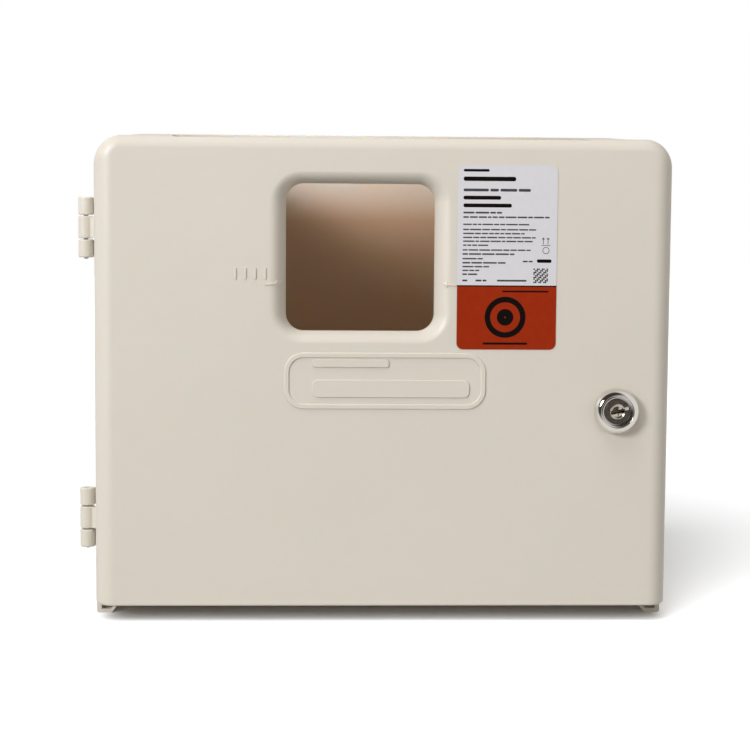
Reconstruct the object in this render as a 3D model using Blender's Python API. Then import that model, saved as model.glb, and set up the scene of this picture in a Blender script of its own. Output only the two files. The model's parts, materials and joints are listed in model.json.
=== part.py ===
"""Locking wall cabinet for a five-quart sharps container, empty, with its door closed.

Cabinet coordinates are used throughout: X to the right, Y from the door's front face to the
wall, Z up from the floor. The root empty moves them so that the world's origin is the middle
of the whole object's footprint.
"""
import math

import bmesh
import bpy
from mathutils import Matrix, Vector

MM = 0.001
GAP = 0.3 * MM            # between pieces that touch
OVERLAP = 1.0 * MM        # how far joined shapes reach into each other

# Cabinet
WALL = 2.5 * MM
HALF_WIDTH = 148.7 * MM
DEPTH = 137.0 * MM
CORNER_RADIUS = 14.5 * MM
FRONT_HEIGHT = 248.75 * MM
REAR_HEIGHT = 255.0 * MM  # the top rises towards the wall, so it leaves its mould
PARTING = 28.0 * MM       # where the door ends
PARTING_GAP = 0.5 * MM
HOUSING_FRONT = PARTING + PARTING_GAP

# Door
DOOR_HALF = 147.4 * MM
DOOR_BOTTOM = 9.4 * MM
DOOR_TOP = 248.15 * MM
DOOR_DRAFT = 0.6 * MM     # how much wider the rim is than the front
SIDE_FILLET = 10.0 * MM
TOP_FILLET = 6.5 * MM
BOTTOM_FILLET = 1.0 * MM
BOTTOM_CORNER = 1.8 * MM
FILLET_STEPS = 7
CORNER_STEPS = 7

# Top opening, where the container's lid stands out
OPENING_FRONT = 3.6 * MM
OPENING_FRONT_HALF = 107.3 * MM
OPENING_BACK_HALF = 116.0 * MM
OPENING_CORNER = 3.0 * MM

# Runner feet
FOOT_FLANGE = 7.9 * MM
FOOT_THICKNESS = 1.9 * MM
FOOT_LIP_HEIGHT = 3.1 * MM
FOOT_LIP_LEAN = 2.3 * MM
FOOT_LIP_THICKNESS = 1.5 * MM
FOOT_RADIUS = 1.0 * MM

# Wall fixing holes
FIXING_HALF_SPACING = 88.9 * MM
KEYHOLE_Z = 214.0 * MM
KEYHOLE_ROUND = 4.5 * MM
KEYHOLE_SLOT = 2.4 * MM
KEYHOLE_RISE = 10.0 * MM
LOWER_FIXING_Z = 46.0 * MM
LOWER_FIXING_RADIUS = 2.6 * MM

# Window
WINDOW_X = -12.05 * MM
WINDOW_Z = 187.45 * MM
WINDOW_HALF_WIDTH = 37.8 * MM
WINDOW_HALF_HEIGHT = 37.35 * MM
WINDOW_RADIUS = 9.0 * MM
DISH_SIDE = 8.3 * MM
DISH_TOP = 6.2 * MM
DISH_DEPTH = 8.0 * MM
DISH_STEPS = 6
DISH_ROLL = math.radians(58)    # how far round the dish's curve goes before the opening
COLLAR_TAPER = 0.45       # how much of the dish is left at the collar's back

# Raised badge on the door
BADGE_X = 0.65 * MM
BADGE_Z = 125.1 * MM
BADGE_HALF_WIDTH = 51.3 * MM
BADGE_HALF_HEIGHT = 14.4 * MM
BADGE_RADIUS = 10.0 * MM
BADGE_LINE = 2.7 * MM
BADGE_RELIEF = 0.7 * MM
BADGE_BARS = (            # left, right, bottom, top
    (-36.4 * MM, 2.6 * MM, 132.0 * MM, 136.0 * MM),
    (-36.4 * MM, 43.6 * MM, 116.7 * MM, 125.7 * MM),
)

# Label
LABEL_LEFT = 36.7 * MM
LABEL_RIGHT = 87.2 * MM
LABEL_BOTTOM = 141.4 * MM
LABEL_TOP = 234.6 * MM
LABEL_RADIUS = 3.3 * MM
LABEL_THICKNESS = 0.15 * MM
LABEL_GAP = 0.1 * MM

# Hinges
HINGE_X = -153.1 * MM
HINGE_Y = PARTING + PARTING_GAP / 2
HINGES = (("upper", 201.8 * MM), ("lower", 50.9 * MM))
KNUCKLE_RADIUS = 3.9 * MM
KNUCKLE_BORE = 1.5 * MM
PIN_RADIUS = 1.2 * MM
OUTER_KNUCKLE = 9.2 * MM
MIDDLE_KNUCKLE = 11.5 * MM
KNUCKLE_GAP = 0.6 * MM
KNUCKLE_EDGE = 0.7 * MM
LEAF_ANGLE = math.radians(53)   # where the middle leaf leaves the knuckle, from the door's side
LEAF_REACH = 6.5 * MM     # how far the leaf's hollow runs forward on the door's side
LEAF_FLARE = 1.0 * MM
LEAF_SETBACK = 1.2 * MM   # outer leaves, behind the housing's front
LEAF_STEPS = 4
PIN_RECESS = 3.0 * MM
PIN_TIP = 0.9 * MM

# Lock
LOCK_X = 118.8 * MM
LOCK_Z = 110.3 * MM
KEYWAY_TILT = math.radians(10)
HEAD_RADIUS = 11.6 * MM
HEAD_FRONT = -6.3 * MM
HEAD_RIM = 1.3 * MM
HEAD_CROWN = 2.6 * MM
CROWN_STEPS = 5
HEAD_MOUTH = 8.1 * MM
BARREL_RADIUS = 9.25 * MM
BARREL_FLAT = 8.0 * MM
BARREL_END = 29.7 * MM
PLUG_RADIUS = 6.3 * MM
PLUG_FRONT = -4.3 * MM
BOSS_RADIUS = 3.9 * MM
BOSS_FRONT = -5.6 * MM
BOSS_EDGE = 0.4 * MM
DISC_RADIUS = 6.6 * MM
DISC_FRONT = -5.2 * MM
DISC_NOTCH = (3.0 * MM, 6.0 * MM, -0.3 * MM, 2.2 * MM)    # left, right, bottom, top
PLUG_END = 29.7 * MM
TAIL_HALF = 3.5 * MM
TAIL_END = 33.1 * MM
KEYWAY_HALF_LENGTH = 3.4 * MM
KEYWAY_HALF_WIDTH = 0.85 * MM
KEYWAY_END = 23.4 * MM
PAD_RADIUS = 15.0 * MM
PAD_END = 4.5 * MM

# Wafers, in the plug's own directions: u along the keyway, v across it
WAFERS = 5
WAFER_FIRST = 4.0 * MM
WAFER_PITCH = 3.4 * MM
WAFER_THICKNESS = 1.2 * MM
WAFER_HALF_LENGTH = 5.2 * MM
WAFER_LOW = -3.0 * MM
WAFER_STEP = 1.2 * MM
WAFER_HIGH = 3.0 * MM
WAFER_ARM = 2.2 * MM
WAFER_WINDOW_LENGTH = 3.7 * MM
WAFER_WINDOW_WIDTH = 0.75 * MM
SLOT_THICKNESS = 2.0 * MM
SLOT_SEAT = -3.8 * MM
SPRING_COIL = 0.5 * MM
SPRING_WIRE = 0.12 * MM
SPRING_TURNS = 4
SPRING_STEPS = 10

# Fasteners and cam
NUT_FLATS = 22.0 * MM
NUT_THICKNESS = 4.0 * MM
WASHER_THICKNESS = 1.0 * MM
WASHER_MARGIN = 1.5 * MM  # how far the lock's washer stands out past the nut's flats
STOP_THICKNESS = 1.1 * MM
STOP_RADIUS = 9.0 * MM
STOP_TAB_INNER = 7.3 * MM
STOP_TAB_DEPTH = 1.6 * MM
STOP_TAB_HALF_ANGLE = math.radians(14)
STOP_TAB_INSET = 0.1 * MM
STOP_PLAY = math.radians(4)
CAM_START = 31.4 * MM
CAM_THICKNESS = 2.0 * MM
CAM_REACH = 24.0 * MM
CAM_ROUND = 8.0 * MM
CAM_TIP_HALF = 5.0 * MM
CAM_TIP_RADIUS = 2.0 * MM
SCREW_RADIUS = 1.85 * MM
SCREW_HOLE = 2.2 * MM
SCREW_DEPTH = 9.0 * MM
SCREW_HEAD_RADIUS = 4.2 * MM
SCREW_HEAD = 2.5 * MM
SCREW_SLOT = 0.6 * MM
SCREW_POINT = 0.7         # the shank's end, as a part of its radius
SCREW_CROWN = 0.75        # the head's flat top, as a part of its radius
SCREW_SHOULDER = 0.6      # the head's straight side, as a part of its height
CAM_WASHER_RADIUS = 5.6 * MM

# Strike that the cam goes behind
STRIKE_LEFT = 135.5 * MM
STRIKE_HALF_HEIGHT = 15.0 * MM
STRIKE_THICKNESS = 2.4 * MM

ROUND = 32                # sides of a turned piece
SMALL_ROUND = 20
SHARP_ANGLE = math.radians(30)

ORIGIN_X = (HINGE_X - KNUCKLE_RADIUS + HALF_WIDTH) / 2
ORIGIN_Y = (HEAD_FRONT + DEPTH) / 2


# ---------------------------------------------------------------- outlines

def arc(cx, cy, radius, start, end, steps):
    """Points on an arc from start to end degrees, both included."""
    angles = [math.radians(start + (end - start) * i / steps) for i in range(steps + 1)]
    return [(cx + radius * math.cos(a), cy + radius * math.sin(a)) for a in angles]


def rounded_rectangle(left, right, bottom, top, lower_radius, upper_radius, steps=CORNER_STEPS):
    """Anticlockwise outline that starts at the lower right corner."""
    return (
        arc(right - lower_radius, bottom + lower_radius, lower_radius, -90, 0, steps)
        + arc(right - upper_radius, top - upper_radius, upper_radius, 0, 90, steps)
        + arc(left + upper_radius, top - upper_radius, upper_radius, 90, 180, steps)
        + arc(left + lower_radius, bottom + lower_radius, lower_radius, 180, 270, steps)
    )


def circle(cx, cy, radius, sides, flat=None):
    """A circle, with its top and bottom cut to flats when flat is given."""
    points = [(cx + radius * math.cos(math.tau * i / sides), cy + radius * math.sin(math.tau * i / sides))
              for i in range(sides)]
    if flat is None:
        return points
    return [(x, cy + max(-flat, min(flat, y - cy))) for x, y in points]


def box_outline(left, right, bottom, top):
    return [(left, bottom), (right, bottom), (right, top), (left, top)]


def fillet_inset(depth, radius):
    """How far a quarter-round edge lies inside its outline at a depth behind the front."""
    if depth >= radius:
        return 0.0
    return radius - math.sqrt(radius ** 2 - (radius - depth) ** 2)


# ---------------------------------------------------------------- solids

def loft(name, rings, closed=False):
    """A solid through rings of equally many points, capped at both ends unless closed."""
    bm = bmesh.new()
    loops = [[bm.verts.new(point) for point in ring] for ring in rings]
    pairs = list(zip(loops, loops[1:]))
    if closed:
        pairs.append((loops[-1], loops[0]))
    else:
        bm.faces.new(loops[0])
        bm.faces.new(loops[-1])
    for near, far in pairs:
        for i in range(len(near)):
            j = (i + 1) % len(near)
            bm.faces.new((near[i], near[j], far[j], far[i]))
    bmesh.ops.recalc_face_normals(bm, faces=bm.faces)
    mesh = bpy.data.meshes.new(name)
    bm.to_mesh(mesh)
    bm.free()
    piece = bpy.data.objects.new(name, mesh)
    bpy.context.collection.objects.link(piece)
    return piece


def prism_y(name, outline, front, back):
    """An outline of (x, z) points, extruded from front to back."""
    return loft(name, [[(x, y, z) for x, z in outline] for y in (front, back)])


def prism_z(name, outline, bottom, top):
    """An outline of (x, y) points, extruded upwards."""
    return loft(name, [[(x, y, z) for x, y in outline] for z in (bottom, top)])


def turned_y(name, profile, hollow=False, sides=ROUND):
    """A profile of (radius, y) points, turned about the lock's axis; hollow closes it on itself."""
    rings = [[(x, y, z) for x, z in circle(LOCK_X, LOCK_Z, radius, sides)] for radius, y in profile]
    return loft(name, rings, closed=hollow)


def turned_z(name, profile):
    """A profile of (radius, z) points, turned about the hinge axis."""
    return loft(name, [[(x, y, z) for x, y in circle(HINGE_X, HINGE_Y, radius, SMALL_ROUND)]
                       for radius, z in profile])


def combine(target, tool, operation):
    """Join, cut or keep target with tool, which is used up."""
    modifier = target.modifiers.new(operation, "BOOLEAN")
    modifier.operation = operation
    modifier.solver = "EXACT"
    modifier.object = tool
    graph = bpy.context.evaluated_depsgraph_get()
    old_mesh = target.data
    target_mesh = bpy.data.meshes.new_from_object(target.evaluated_get(graph))
    target.modifiers.clear()
    target.data = target_mesh
    target_mesh.name = target.name
    bpy.data.meshes.remove(old_mesh)
    bpy.data.objects.remove(tool)


def cut(target, tool):
    combine(target, tool, "DIFFERENCE")


def join(target, tool):
    combine(target, tool, "UNION")


# ---------------------------------------------------------------- materials and placing

def material(name, colour, roughness, metallic=0.0):
    made = bpy.data.materials.new(name)
    made.use_nodes = True
    shader = made.node_tree.nodes["Principled BSDF"]
    shader.inputs["Base Color"].default_value = (*colour, 1.0)
    shader.inputs["Roughness"].default_value = roughness
    shader.inputs["Metallic"].default_value = metallic
    return made


def empty(name, parent, position):
    """An empty at a cabinet position, which keeps that position for place()."""
    made = bpy.data.objects.new(name, None)
    bpy.context.collection.objects.link(made)
    made["cabinet"] = position
    made.parent = parent
    origin = parent["cabinet"] if parent else (ORIGIN_X, ORIGIN_Y, 0.0)
    made.location = Vector(position) - Vector(origin)
    return made


def place(piece, parent, finish):
    """Hang a piece modelled in cabinet coordinates on an empty, and finish it."""
    piece.data.transform(Matrix.Translation(-Vector(parent["cabinet"])))
    piece.parent = parent
    piece.data.materials.clear()
    piece.data.materials.append(finish)
    piece.data.shade_smooth()
    piece.data.set_sharp_from_angle(angle=SHARP_ANGLE)


# ---------------------------------------------------------------- housing

def top_height(y):
    """The housing's height at a depth."""
    return FRONT_HEIGHT + (REAR_HEIGHT - FRONT_HEIGHT) * (y - HOUSING_FRONT) / (DEPTH - HOUSING_FRONT)


def housing_ring(y):
    """The housing's outline at a depth."""
    outline = rounded_rectangle(-HALF_WIDTH, HALF_WIDTH, 0.0, top_height(y), FOOT_RADIUS, CORNER_RADIUS)
    return [(x, y, z) for x, z in outline]


def room_ring(y):
    """The inside of the housing at a depth."""
    outline = rounded_rectangle(WALL - HALF_WIDTH, HALF_WIDTH - WALL, DOOR_BOTTOM + WALL,
                                top_height(y) - WALL, BOTTOM_CORNER, CORNER_RADIUS - WALL)
    return [(x, y, z) for x, z in outline]


def opening_half(y):
    """Half the top opening's width, which grows towards the wall."""
    share = (y - OPENING_FRONT) / (DEPTH - WALL - OPENING_FRONT)
    return OPENING_FRONT_HALF + (OPENING_BACK_HALF - OPENING_FRONT_HALF) * share


def opening_outline(front, back, corner):
    """The top opening from above, between two depths, with its front corners rounded."""
    right = [(opening_half(back), back), (opening_half(front + corner), front + corner)]
    right += arc(opening_half(front) - corner, front + corner, corner, 0, -90, 4)
    return right + [(-x, y) for x, y in reversed(right)]


def runner_outline():
    """The space under the shelf, between and inside the two runner feet."""
    inner = HALF_WIDTH - WALL
    toe = HALF_WIDTH - FOOT_FLANGE
    right = [
        (toe, -OVERLAP),
        (toe, 0.0),
        (toe - FOOT_LIP_LEAN, FOOT_LIP_HEIGHT),
        (toe - FOOT_LIP_LEAN + FOOT_LIP_THICKNESS, FOOT_LIP_HEIGHT),
        (toe + FOOT_LIP_THICKNESS / 2, FOOT_THICKNESS),
        (inner, FOOT_THICKNESS),
        (inner, DOOR_BOTTOM),
    ]
    return right + [(-x, z) for x, z in reversed(right)]


def keyhole(side):
    """A screw keyhole: the head goes in at the bottom and the shank hangs at the top."""
    x = side * FIXING_HALF_SPACING
    half_angle = math.degrees(math.asin(KEYHOLE_SLOT / KEYHOLE_ROUND))
    outline = arc(x, KEYHOLE_Z, KEYHOLE_ROUND, 90 + half_angle, 450 - half_angle, SMALL_ROUND)
    outline += arc(x, KEYHOLE_Z + KEYHOLE_RISE, KEYHOLE_SLOT, 0, 180, SMALL_ROUND // 2)
    return outline


def knuckle(name, bottom, height):
    """A hinge knuckle with rounded rims."""
    lower = arc(KNUCKLE_RADIUS - KNUCKLE_EDGE, bottom + KNUCKLE_EDGE, KNUCKLE_EDGE, -90, 0, 2)
    upper = arc(KNUCKLE_RADIUS - KNUCKLE_EDGE, bottom + height - KNUCKLE_EDGE, KNUCKLE_EDGE, 0, 90, 2)
    return turned_z(name, lower + upper)


def make_housing():
    housing = loft("rear_housing", [housing_ring(HOUSING_FRONT), housing_ring(DEPTH)])
    inside_back = DEPTH - WALL
    front = HOUSING_FRONT - OVERLAP
    cut(housing, loft("room", [room_ring(front), room_ring(inside_back)]))
    cut(housing, prism_y("under_shelf", runner_outline(), front, inside_back))
    opening = opening_outline(front, inside_back, OVERLAP)
    cut(housing, prism_z("top_opening", opening, FRONT_HEIGHT - CORNER_RADIUS, REAR_HEIGHT + OVERLAP))
    for side in (-1, 1):
        hole = circle(side * FIXING_HALF_SPACING, LOWER_FIXING_Z, LOWER_FIXING_RADIUS, SMALL_ROUND)
        cut(housing, prism_y("lower_fixing", hole, inside_back - OVERLAP, DEPTH + OVERLAP))
        cut(housing, prism_y("keyhole", keyhole(side), inside_back - OVERLAP, DEPTH + OVERLAP))
    strike = rounded_rectangle(STRIKE_LEFT, HALF_WIDTH - WALL / 2, LOCK_Z - STRIKE_HALF_HEIGHT,
                               LOCK_Z + STRIKE_HALF_HEIGHT, OVERLAP, OVERLAP, 3)
    join(housing, prism_y("strike", strike, HOUSING_FRONT, HOUSING_FRONT + STRIKE_THICKNESS))
    for _, middle in HINGES:
        start = middle - MIDDLE_KNUCKLE / 2 - KNUCKLE_GAP - OUTER_KNUCKLE
        for bottom in (start, middle + MIDDLE_KNUCKLE / 2 + KNUCKLE_GAP):
            outer = knuckle("outer_knuckle", bottom, OUTER_KNUCKLE)
            leaf = box_outline(HINGE_X, WALL / 2 - HALF_WIDTH, HOUSING_FRONT + LEAF_SETBACK,
                               HINGE_Y + KNUCKLE_RADIUS)
            edge = KNUCKLE_EDGE / 2
            join(outer, prism_z("outer_leaf", leaf, bottom + edge, bottom + OUTER_KNUCKLE - edge))
            join(housing, outer)
            cut(housing, turned_z("bore", [(KNUCKLE_BORE, bottom - OVERLAP),
                                           (KNUCKLE_BORE, bottom + OUTER_KNUCKLE + OVERLAP)]))
    return housing


# ---------------------------------------------------------------- door

def door_ring(y, wall=0.0):
    """The door's outline at a depth, or its inside when a wall is given."""
    depth = y - wall
    side = max(SIDE_FILLET - wall, 0.0)
    inset_side = fillet_inset(depth, side)
    inset_top = fillet_inset(depth, max(TOP_FILLET - wall, BOTTOM_FILLET))
    inset_bottom = fillet_inset(depth, BOTTOM_FILLET)
    draft = DOOR_DRAFT * (PARTING - max(y, SIDE_FILLET)) / (PARTING - SIDE_FILLET)
    half = DOOR_HALF - draft - wall - inset_side
    upper = max(CORNER_RADIUS - wall - inset_side, 2 * BOTTOM_FILLET)
    outline = rounded_rectangle(-half, half, DOOR_BOTTOM + wall + inset_bottom,
                                DOOR_TOP + DOOR_DRAFT - draft - wall - inset_top, BOTTOM_CORNER, upper)
    return [(x, y, z) for x, z in outline]


def fillet_depths(start, radius, small):
    """Depths that follow a large fillet evenly and start with the small one."""
    large = [radius * (1 - math.cos(math.pi / 2 * i / FILLET_STEPS)) for i in range(FILLET_STEPS + 1)]
    fine = [small * (1 - math.cos(math.pi / 2 * i / 3)) for i in range(4)]
    depths = fine + [depth for depth in large if depth > small + GAP]
    return [start + depth for depth in depths]


def dish_ring(outset, y):
    """The window's outline, widened by a part of the dish."""
    wide = WINDOW_HALF_WIDTH + DISH_SIDE * outset
    high = WINDOW_HALF_HEIGHT + DISH_TOP * outset
    radius = WINDOW_RADIUS + (DISH_SIDE + DISH_TOP) / 2 * outset
    outline = rounded_rectangle(WINDOW_X - wide, WINDOW_X + wide, WINDOW_Z - high, WINDOW_Z + high,
                                radius, radius)
    return [(x, y, z) for x, z in outline]


def cut_window(door):
    """A collar behind the window, and the opening with its rolled-in edge."""
    collar_back = DISH_DEPTH + WALL
    join(door, loft("collar", [dish_ring(1.0, WALL / 2), dish_ring(COLLAR_TAPER, collar_back)]))
    roll = [DISH_ROLL * i / DISH_STEPS for i in range(DISH_STEPS + 1)]
    rings = [dish_ring(1.0, -OVERLAP)]
    rings += [dish_ring(1 - math.sin(a) / math.sin(DISH_ROLL),
                        DISH_DEPTH * (1 - math.cos(a)) / (1 - math.cos(DISH_ROLL))) for a in roll]
    rings.append(dish_ring(0.0, collar_back + OVERLAP))
    cut(door, loft("window", rings))


def add_badge(door):
    """A raised rounded frame with two plain bars in it."""
    frame_outer = (BADGE_X - BADGE_HALF_WIDTH, BADGE_X + BADGE_HALF_WIDTH,
                   BADGE_Z - BADGE_HALF_HEIGHT, BADGE_Z + BADGE_HALF_HEIGHT)
    left, right, bottom, top = frame_outer
    badge = prism_y("badge", rounded_rectangle(*frame_outer, BADGE_RADIUS, BADGE_RADIUS),
                    -BADGE_RELIEF, WALL / 2)
    inner = rounded_rectangle(left + BADGE_LINE, right - BADGE_LINE, bottom + BADGE_LINE, top - BADGE_LINE,
                              BADGE_RADIUS - BADGE_LINE, BADGE_RADIUS - BADGE_LINE)
    cut(badge, prism_y("badge_inside", inner, -OVERLAP, WALL))
    join(door, badge)
    for bar in BADGE_BARS:
        radius = (bar[3] - bar[2]) / 3
        join(door, prism_y("bar", rounded_rectangle(*bar, radius, radius, 4), -BADGE_RELIEF, WALL / 2))


def middle_leaf(bottom, top):
    """The web from the middle knuckle to the door's side, hollow in front and flared in height."""
    start = HINGE_X + KNUCKLE_RADIUS * math.cos(LEAF_ANGLE)
    start_y = HINGE_Y - KNUCKLE_RADIUS * math.sin(LEAF_ANGLE)
    clear = HINGE_X + KNUCKLE_RADIUS + GAP
    side, inside = -DOOR_HALF, WALL / 2 - DOOR_HALF
    steps = [start + (side - start) * i / LEAF_STEPS for i in range(LEAF_STEPS + 1)]
    rings = []
    for x in [HINGE_X] + steps + [inside]:
        along = min(max((x - start) / (side - start), 0.0), 1.0)
        flare = LEAF_FLARE * min(max((x - clear) / (side - clear), 0.0), 1.0)
        front = start_y + (PARTING - LEAF_REACH - start_y) * (1 - math.sqrt(1 - along ** 2))
        rings.append([(x, y, z) for y, z in box_outline(front, PARTING, bottom - flare, top + flare)])
    return loft("middle_leaf", rings)


def make_door():
    depths = fillet_depths(0.0, SIDE_FILLET, BOTTOM_FILLET)
    rings = [door_ring(y) for y in depths] + [door_ring(PARTING)]
    inner = fillet_depths(WALL, SIDE_FILLET - WALL, BOTTOM_FILLET)
    rings += [door_ring(PARTING, WALL)] + [door_ring(y, WALL) for y in reversed(inner)]
    door = loft("door_shell", rings)
    opening = opening_outline(OPENING_FRONT, PARTING + OVERLAP, OPENING_CORNER)
    cut(door, prism_z("top_opening", opening, DOOR_TOP - CORNER_RADIUS / 2, REAR_HEIGHT))
    cut_window(door)
    add_badge(door)
    pad = circle(LOCK_X, LOCK_Z, PAD_RADIUS, ROUND)
    join(door, prism_y("lock_pad", pad, WALL / 2, PAD_END))
    hole = circle(LOCK_X, LOCK_Z, BARREL_RADIUS + GAP, ROUND, BARREL_FLAT + GAP)
    cut(door, prism_y("lock_hole", hole, -OVERLAP, PAD_END + OVERLAP))
    for _, middle in HINGES:
        bottom = middle - MIDDLE_KNUCKLE / 2
        joined = knuckle("middle_knuckle", bottom, MIDDLE_KNUCKLE)
        edge = KNUCKLE_EDGE / 2
        join(joined, middle_leaf(bottom + edge, bottom + MIDDLE_KNUCKLE - edge))
        join(door, joined)
        cut(door, turned_z("bore", [(KNUCKLE_BORE, bottom - OVERLAP),
                                    (KNUCKLE_BORE, bottom + MIDDLE_KNUCKLE + OVERLAP)]))
    return door


def make_label():
    outline = rounded_rectangle(LABEL_LEFT, LABEL_RIGHT, LABEL_BOTTOM, LABEL_TOP, LABEL_RADIUS, LABEL_RADIUS)
    return prism_y("front_label", outline, -LABEL_GAP - LABEL_THICKNESS, -LABEL_GAP)


def make_pin(name, middle):
    """A hinge pin, recessed at the top, with its domed tip showing below."""
    half = MIDDLE_KNUCKLE / 2 + KNUCKLE_GAP + OUTER_KNUCKLE
    low, high = middle - half - PIN_TIP, middle + half - PIN_RECESS
    chamfer = PIN_RADIUS / 4
    return turned_z(name, [(PIN_RADIUS / 2, low), (PIN_RADIUS - chamfer, low + chamfer),
                           (PIN_RADIUS, low + 2 * chamfer), (PIN_RADIUS, high - chamfer),
                           (PIN_RADIUS - chamfer, high)])


# ---------------------------------------------------------------- lock

def turn_about_lock(piece, angle):
    """Turn a piece about the lock's axis; a positive angle lifts its right-hand side."""
    centre = Matrix.Translation((LOCK_X, 0.0, LOCK_Z))
    piece.data.transform(centre @ Matrix.Rotation(-angle, 4, "Y") @ centre.inverted())


def lock_prism(name, outline, front, back):
    """A prism whose (u, v) outline is measured from the lock's axis, along and across the keyway."""
    piece = prism_y(name, [(LOCK_X + u, LOCK_Z + v) for u, v in outline], front, back)
    turn_about_lock(piece, KEYWAY_TILT)
    return piece


def make_lock_housing():
    bore = PLUG_RADIUS + GAP
    dome = [(HEAD_RADIUS, -GAP)]
    dome += [(HEAD_RADIUS - HEAD_CROWN * (1 - math.cos(a)),
              -HEAD_RIM + (HEAD_FRONT + HEAD_RIM) * math.sin(a))
             for a in (math.pi / 2 * i / CROWN_STEPS for i in range(CROWN_STEPS + 1))]
    profile = [(BARREL_RADIUS, -GAP)] + dome + [
        (HEAD_MOUTH, HEAD_FRONT + GAP),
        (HEAD_MOUTH, BOSS_FRONT),
        (bore, PLUG_FRONT),
        (bore, BARREL_END),
        (BARREL_RADIUS, BARREL_END),
    ]
    body = turned_y("lock_housing", profile, hollow=True)
    for side in (-1, 1):
        edge = sorted((side * BARREL_FLAT, side * 2 * BARREL_RADIUS))
        flat = box_outline(LOCK_X - HEAD_RADIUS, LOCK_X + HEAD_RADIUS, LOCK_Z + edge[0], LOCK_Z + edge[1])
        cut(body, prism_y("flat", flat, -GAP / 2, BARREL_END + OVERLAP))
    tab = STOP_TAB_HALF_ANGLE + STOP_PLAY
    start, end = math.degrees(-math.pi / 2 - tab), math.degrees(tab)
    notch = arc(0.0, 0.0, STOP_RADIUS + OVERLAP, start, end, 12)
    notch += arc(0.0, 0.0, STOP_TAB_INNER - GAP, end, start, 12)
    notch = [(LOCK_X + u, LOCK_Z + v) for u, v in notch]
    cut(body, prism_y("stop_notch", notch, BARREL_END - STOP_TAB_DEPTH - GAP, BARREL_END + OVERLAP))
    return body


def slot_outline():
    """The room a wafer and its spring take in the plug."""
    low, step, high = WAFER_LOW - GAP, WAFER_STEP + GAP, WAFER_HIGH + GAP
    reach = PLUG_RADIUS + OVERLAP
    return [(-reach, low), (reach, low), (reach, high), (SLOT_SEAT, high), (SLOT_SEAT, step), (-reach, step)]


def make_plug():
    plug = turned_y("lock_plug", [
        (BOSS_RADIUS - BOSS_EDGE, BOSS_FRONT),
        (BOSS_RADIUS, BOSS_FRONT + BOSS_EDGE),
        (BOSS_RADIUS, PLUG_FRONT),
        (PLUG_RADIUS, PLUG_FRONT),
        (PLUG_RADIUS, PLUG_END),
        (TAIL_HALF, PLUG_END),
        (TAIL_HALF, PLUG_END + GAP),
    ])
    square = box_outline(-TAIL_HALF, TAIL_HALF, -TAIL_HALF, TAIL_HALF)
    tail = prism_y("tail", [(LOCK_X + u, LOCK_Z + v) for u, v in square], PLUG_END - OVERLAP, TAIL_END)
    join(plug, tail)
    keyway = box_outline(-KEYWAY_HALF_LENGTH, KEYWAY_HALF_LENGTH, -KEYWAY_HALF_WIDTH, KEYWAY_HALF_WIDTH)
    cut(plug, lock_prism("keyway", keyway, BOSS_FRONT - OVERLAP, KEYWAY_END))
    for index in range(WAFERS):
        front = WAFER_FIRST + index * WAFER_PITCH
        cut(plug, lock_prism("slot", slot_outline(), front, front + SLOT_THICKNESS))
    cut(plug, turned_y("screw_hole", [(SCREW_HOLE, TAIL_END - SCREW_DEPTH - GAP),
                                      (SCREW_HOLE, TAIL_END + OVERLAP)], sides=SMALL_ROUND))
    return plug


def make_face_disc():
    """The dark disc round the plug's boss, open beside the keyway."""
    inner = BOSS_RADIUS + GAP
    back = PLUG_FRONT - GAP
    disc = turned_y("lock_face_disc", [(inner, DISC_FRONT), (DISC_RADIUS, DISC_FRONT), (DISC_RADIUS, back),
                                       (inner, back)], hollow=True)
    cut(disc, lock_prism("keyway_step", box_outline(*DISC_NOTCH), DISC_FRONT - OVERLAP, PLUG_FRONT))
    return disc


def make_wafer(index):
    front = WAFER_FIRST + index * WAFER_PITCH + (SLOT_THICKNESS - WAFER_THICKNESS) / 2
    half = WAFER_HALF_LENGTH
    outline = [(-half, WAFER_LOW), (half, WAFER_LOW), (half, WAFER_HIGH), (WAFER_ARM, WAFER_HIGH),
               (WAFER_ARM, WAFER_STEP), (-half, WAFER_STEP)]
    wafer = lock_prism("wafer_%d" % (index + 1), outline, front, front + WAFER_THICKNESS)
    window = box_outline(-WAFER_WINDOW_LENGTH, WAFER_WINDOW_LENGTH, -WAFER_WINDOW_WIDTH, WAFER_WINDOW_WIDTH)
    cut(wafer, lock_prism("wafer_window", window, front - OVERLAP, front + WAFER_THICKNESS + OVERLAP))
    return wafer


def make_wafer_spring(index):
    """A coil along u, between its seat in the plug and the wafer's arm."""
    middle_y = WAFER_FIRST + index * WAFER_PITCH + SLOT_THICKNESS / 2
    middle_v = (WAFER_STEP + GAP + WAFER_HIGH) / 2
    start = SLOT_SEAT + GAP + SPRING_WIRE
    length = WAFER_ARM - GAP - SPRING_WIRE - start
    total = SPRING_TURNS * SPRING_STEPS
    rings = []
    for i in range(total + 1):
        a = math.tau * i / SPRING_STEPS
        centre = Vector((start + length * i / total, SPRING_COIL * math.cos(a), SPRING_COIL * math.sin(a)))
        outward = Vector((0.0, math.cos(a), math.sin(a)))
        ring = []
        for k in range(4):
            b = math.tau * k / 4
            point = centre + outward * (SPRING_WIRE * math.cos(b))
            point.x += SPRING_WIRE * math.sin(b)
            ring.append((LOCK_X + point.x, middle_y + point.y, LOCK_Z + middle_v + point.z))
        rings.append(ring)
    spring = loft("wafer_spring_%d" % (index + 1), rings)
    turn_about_lock(spring, KEYWAY_TILT)
    return spring


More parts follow.
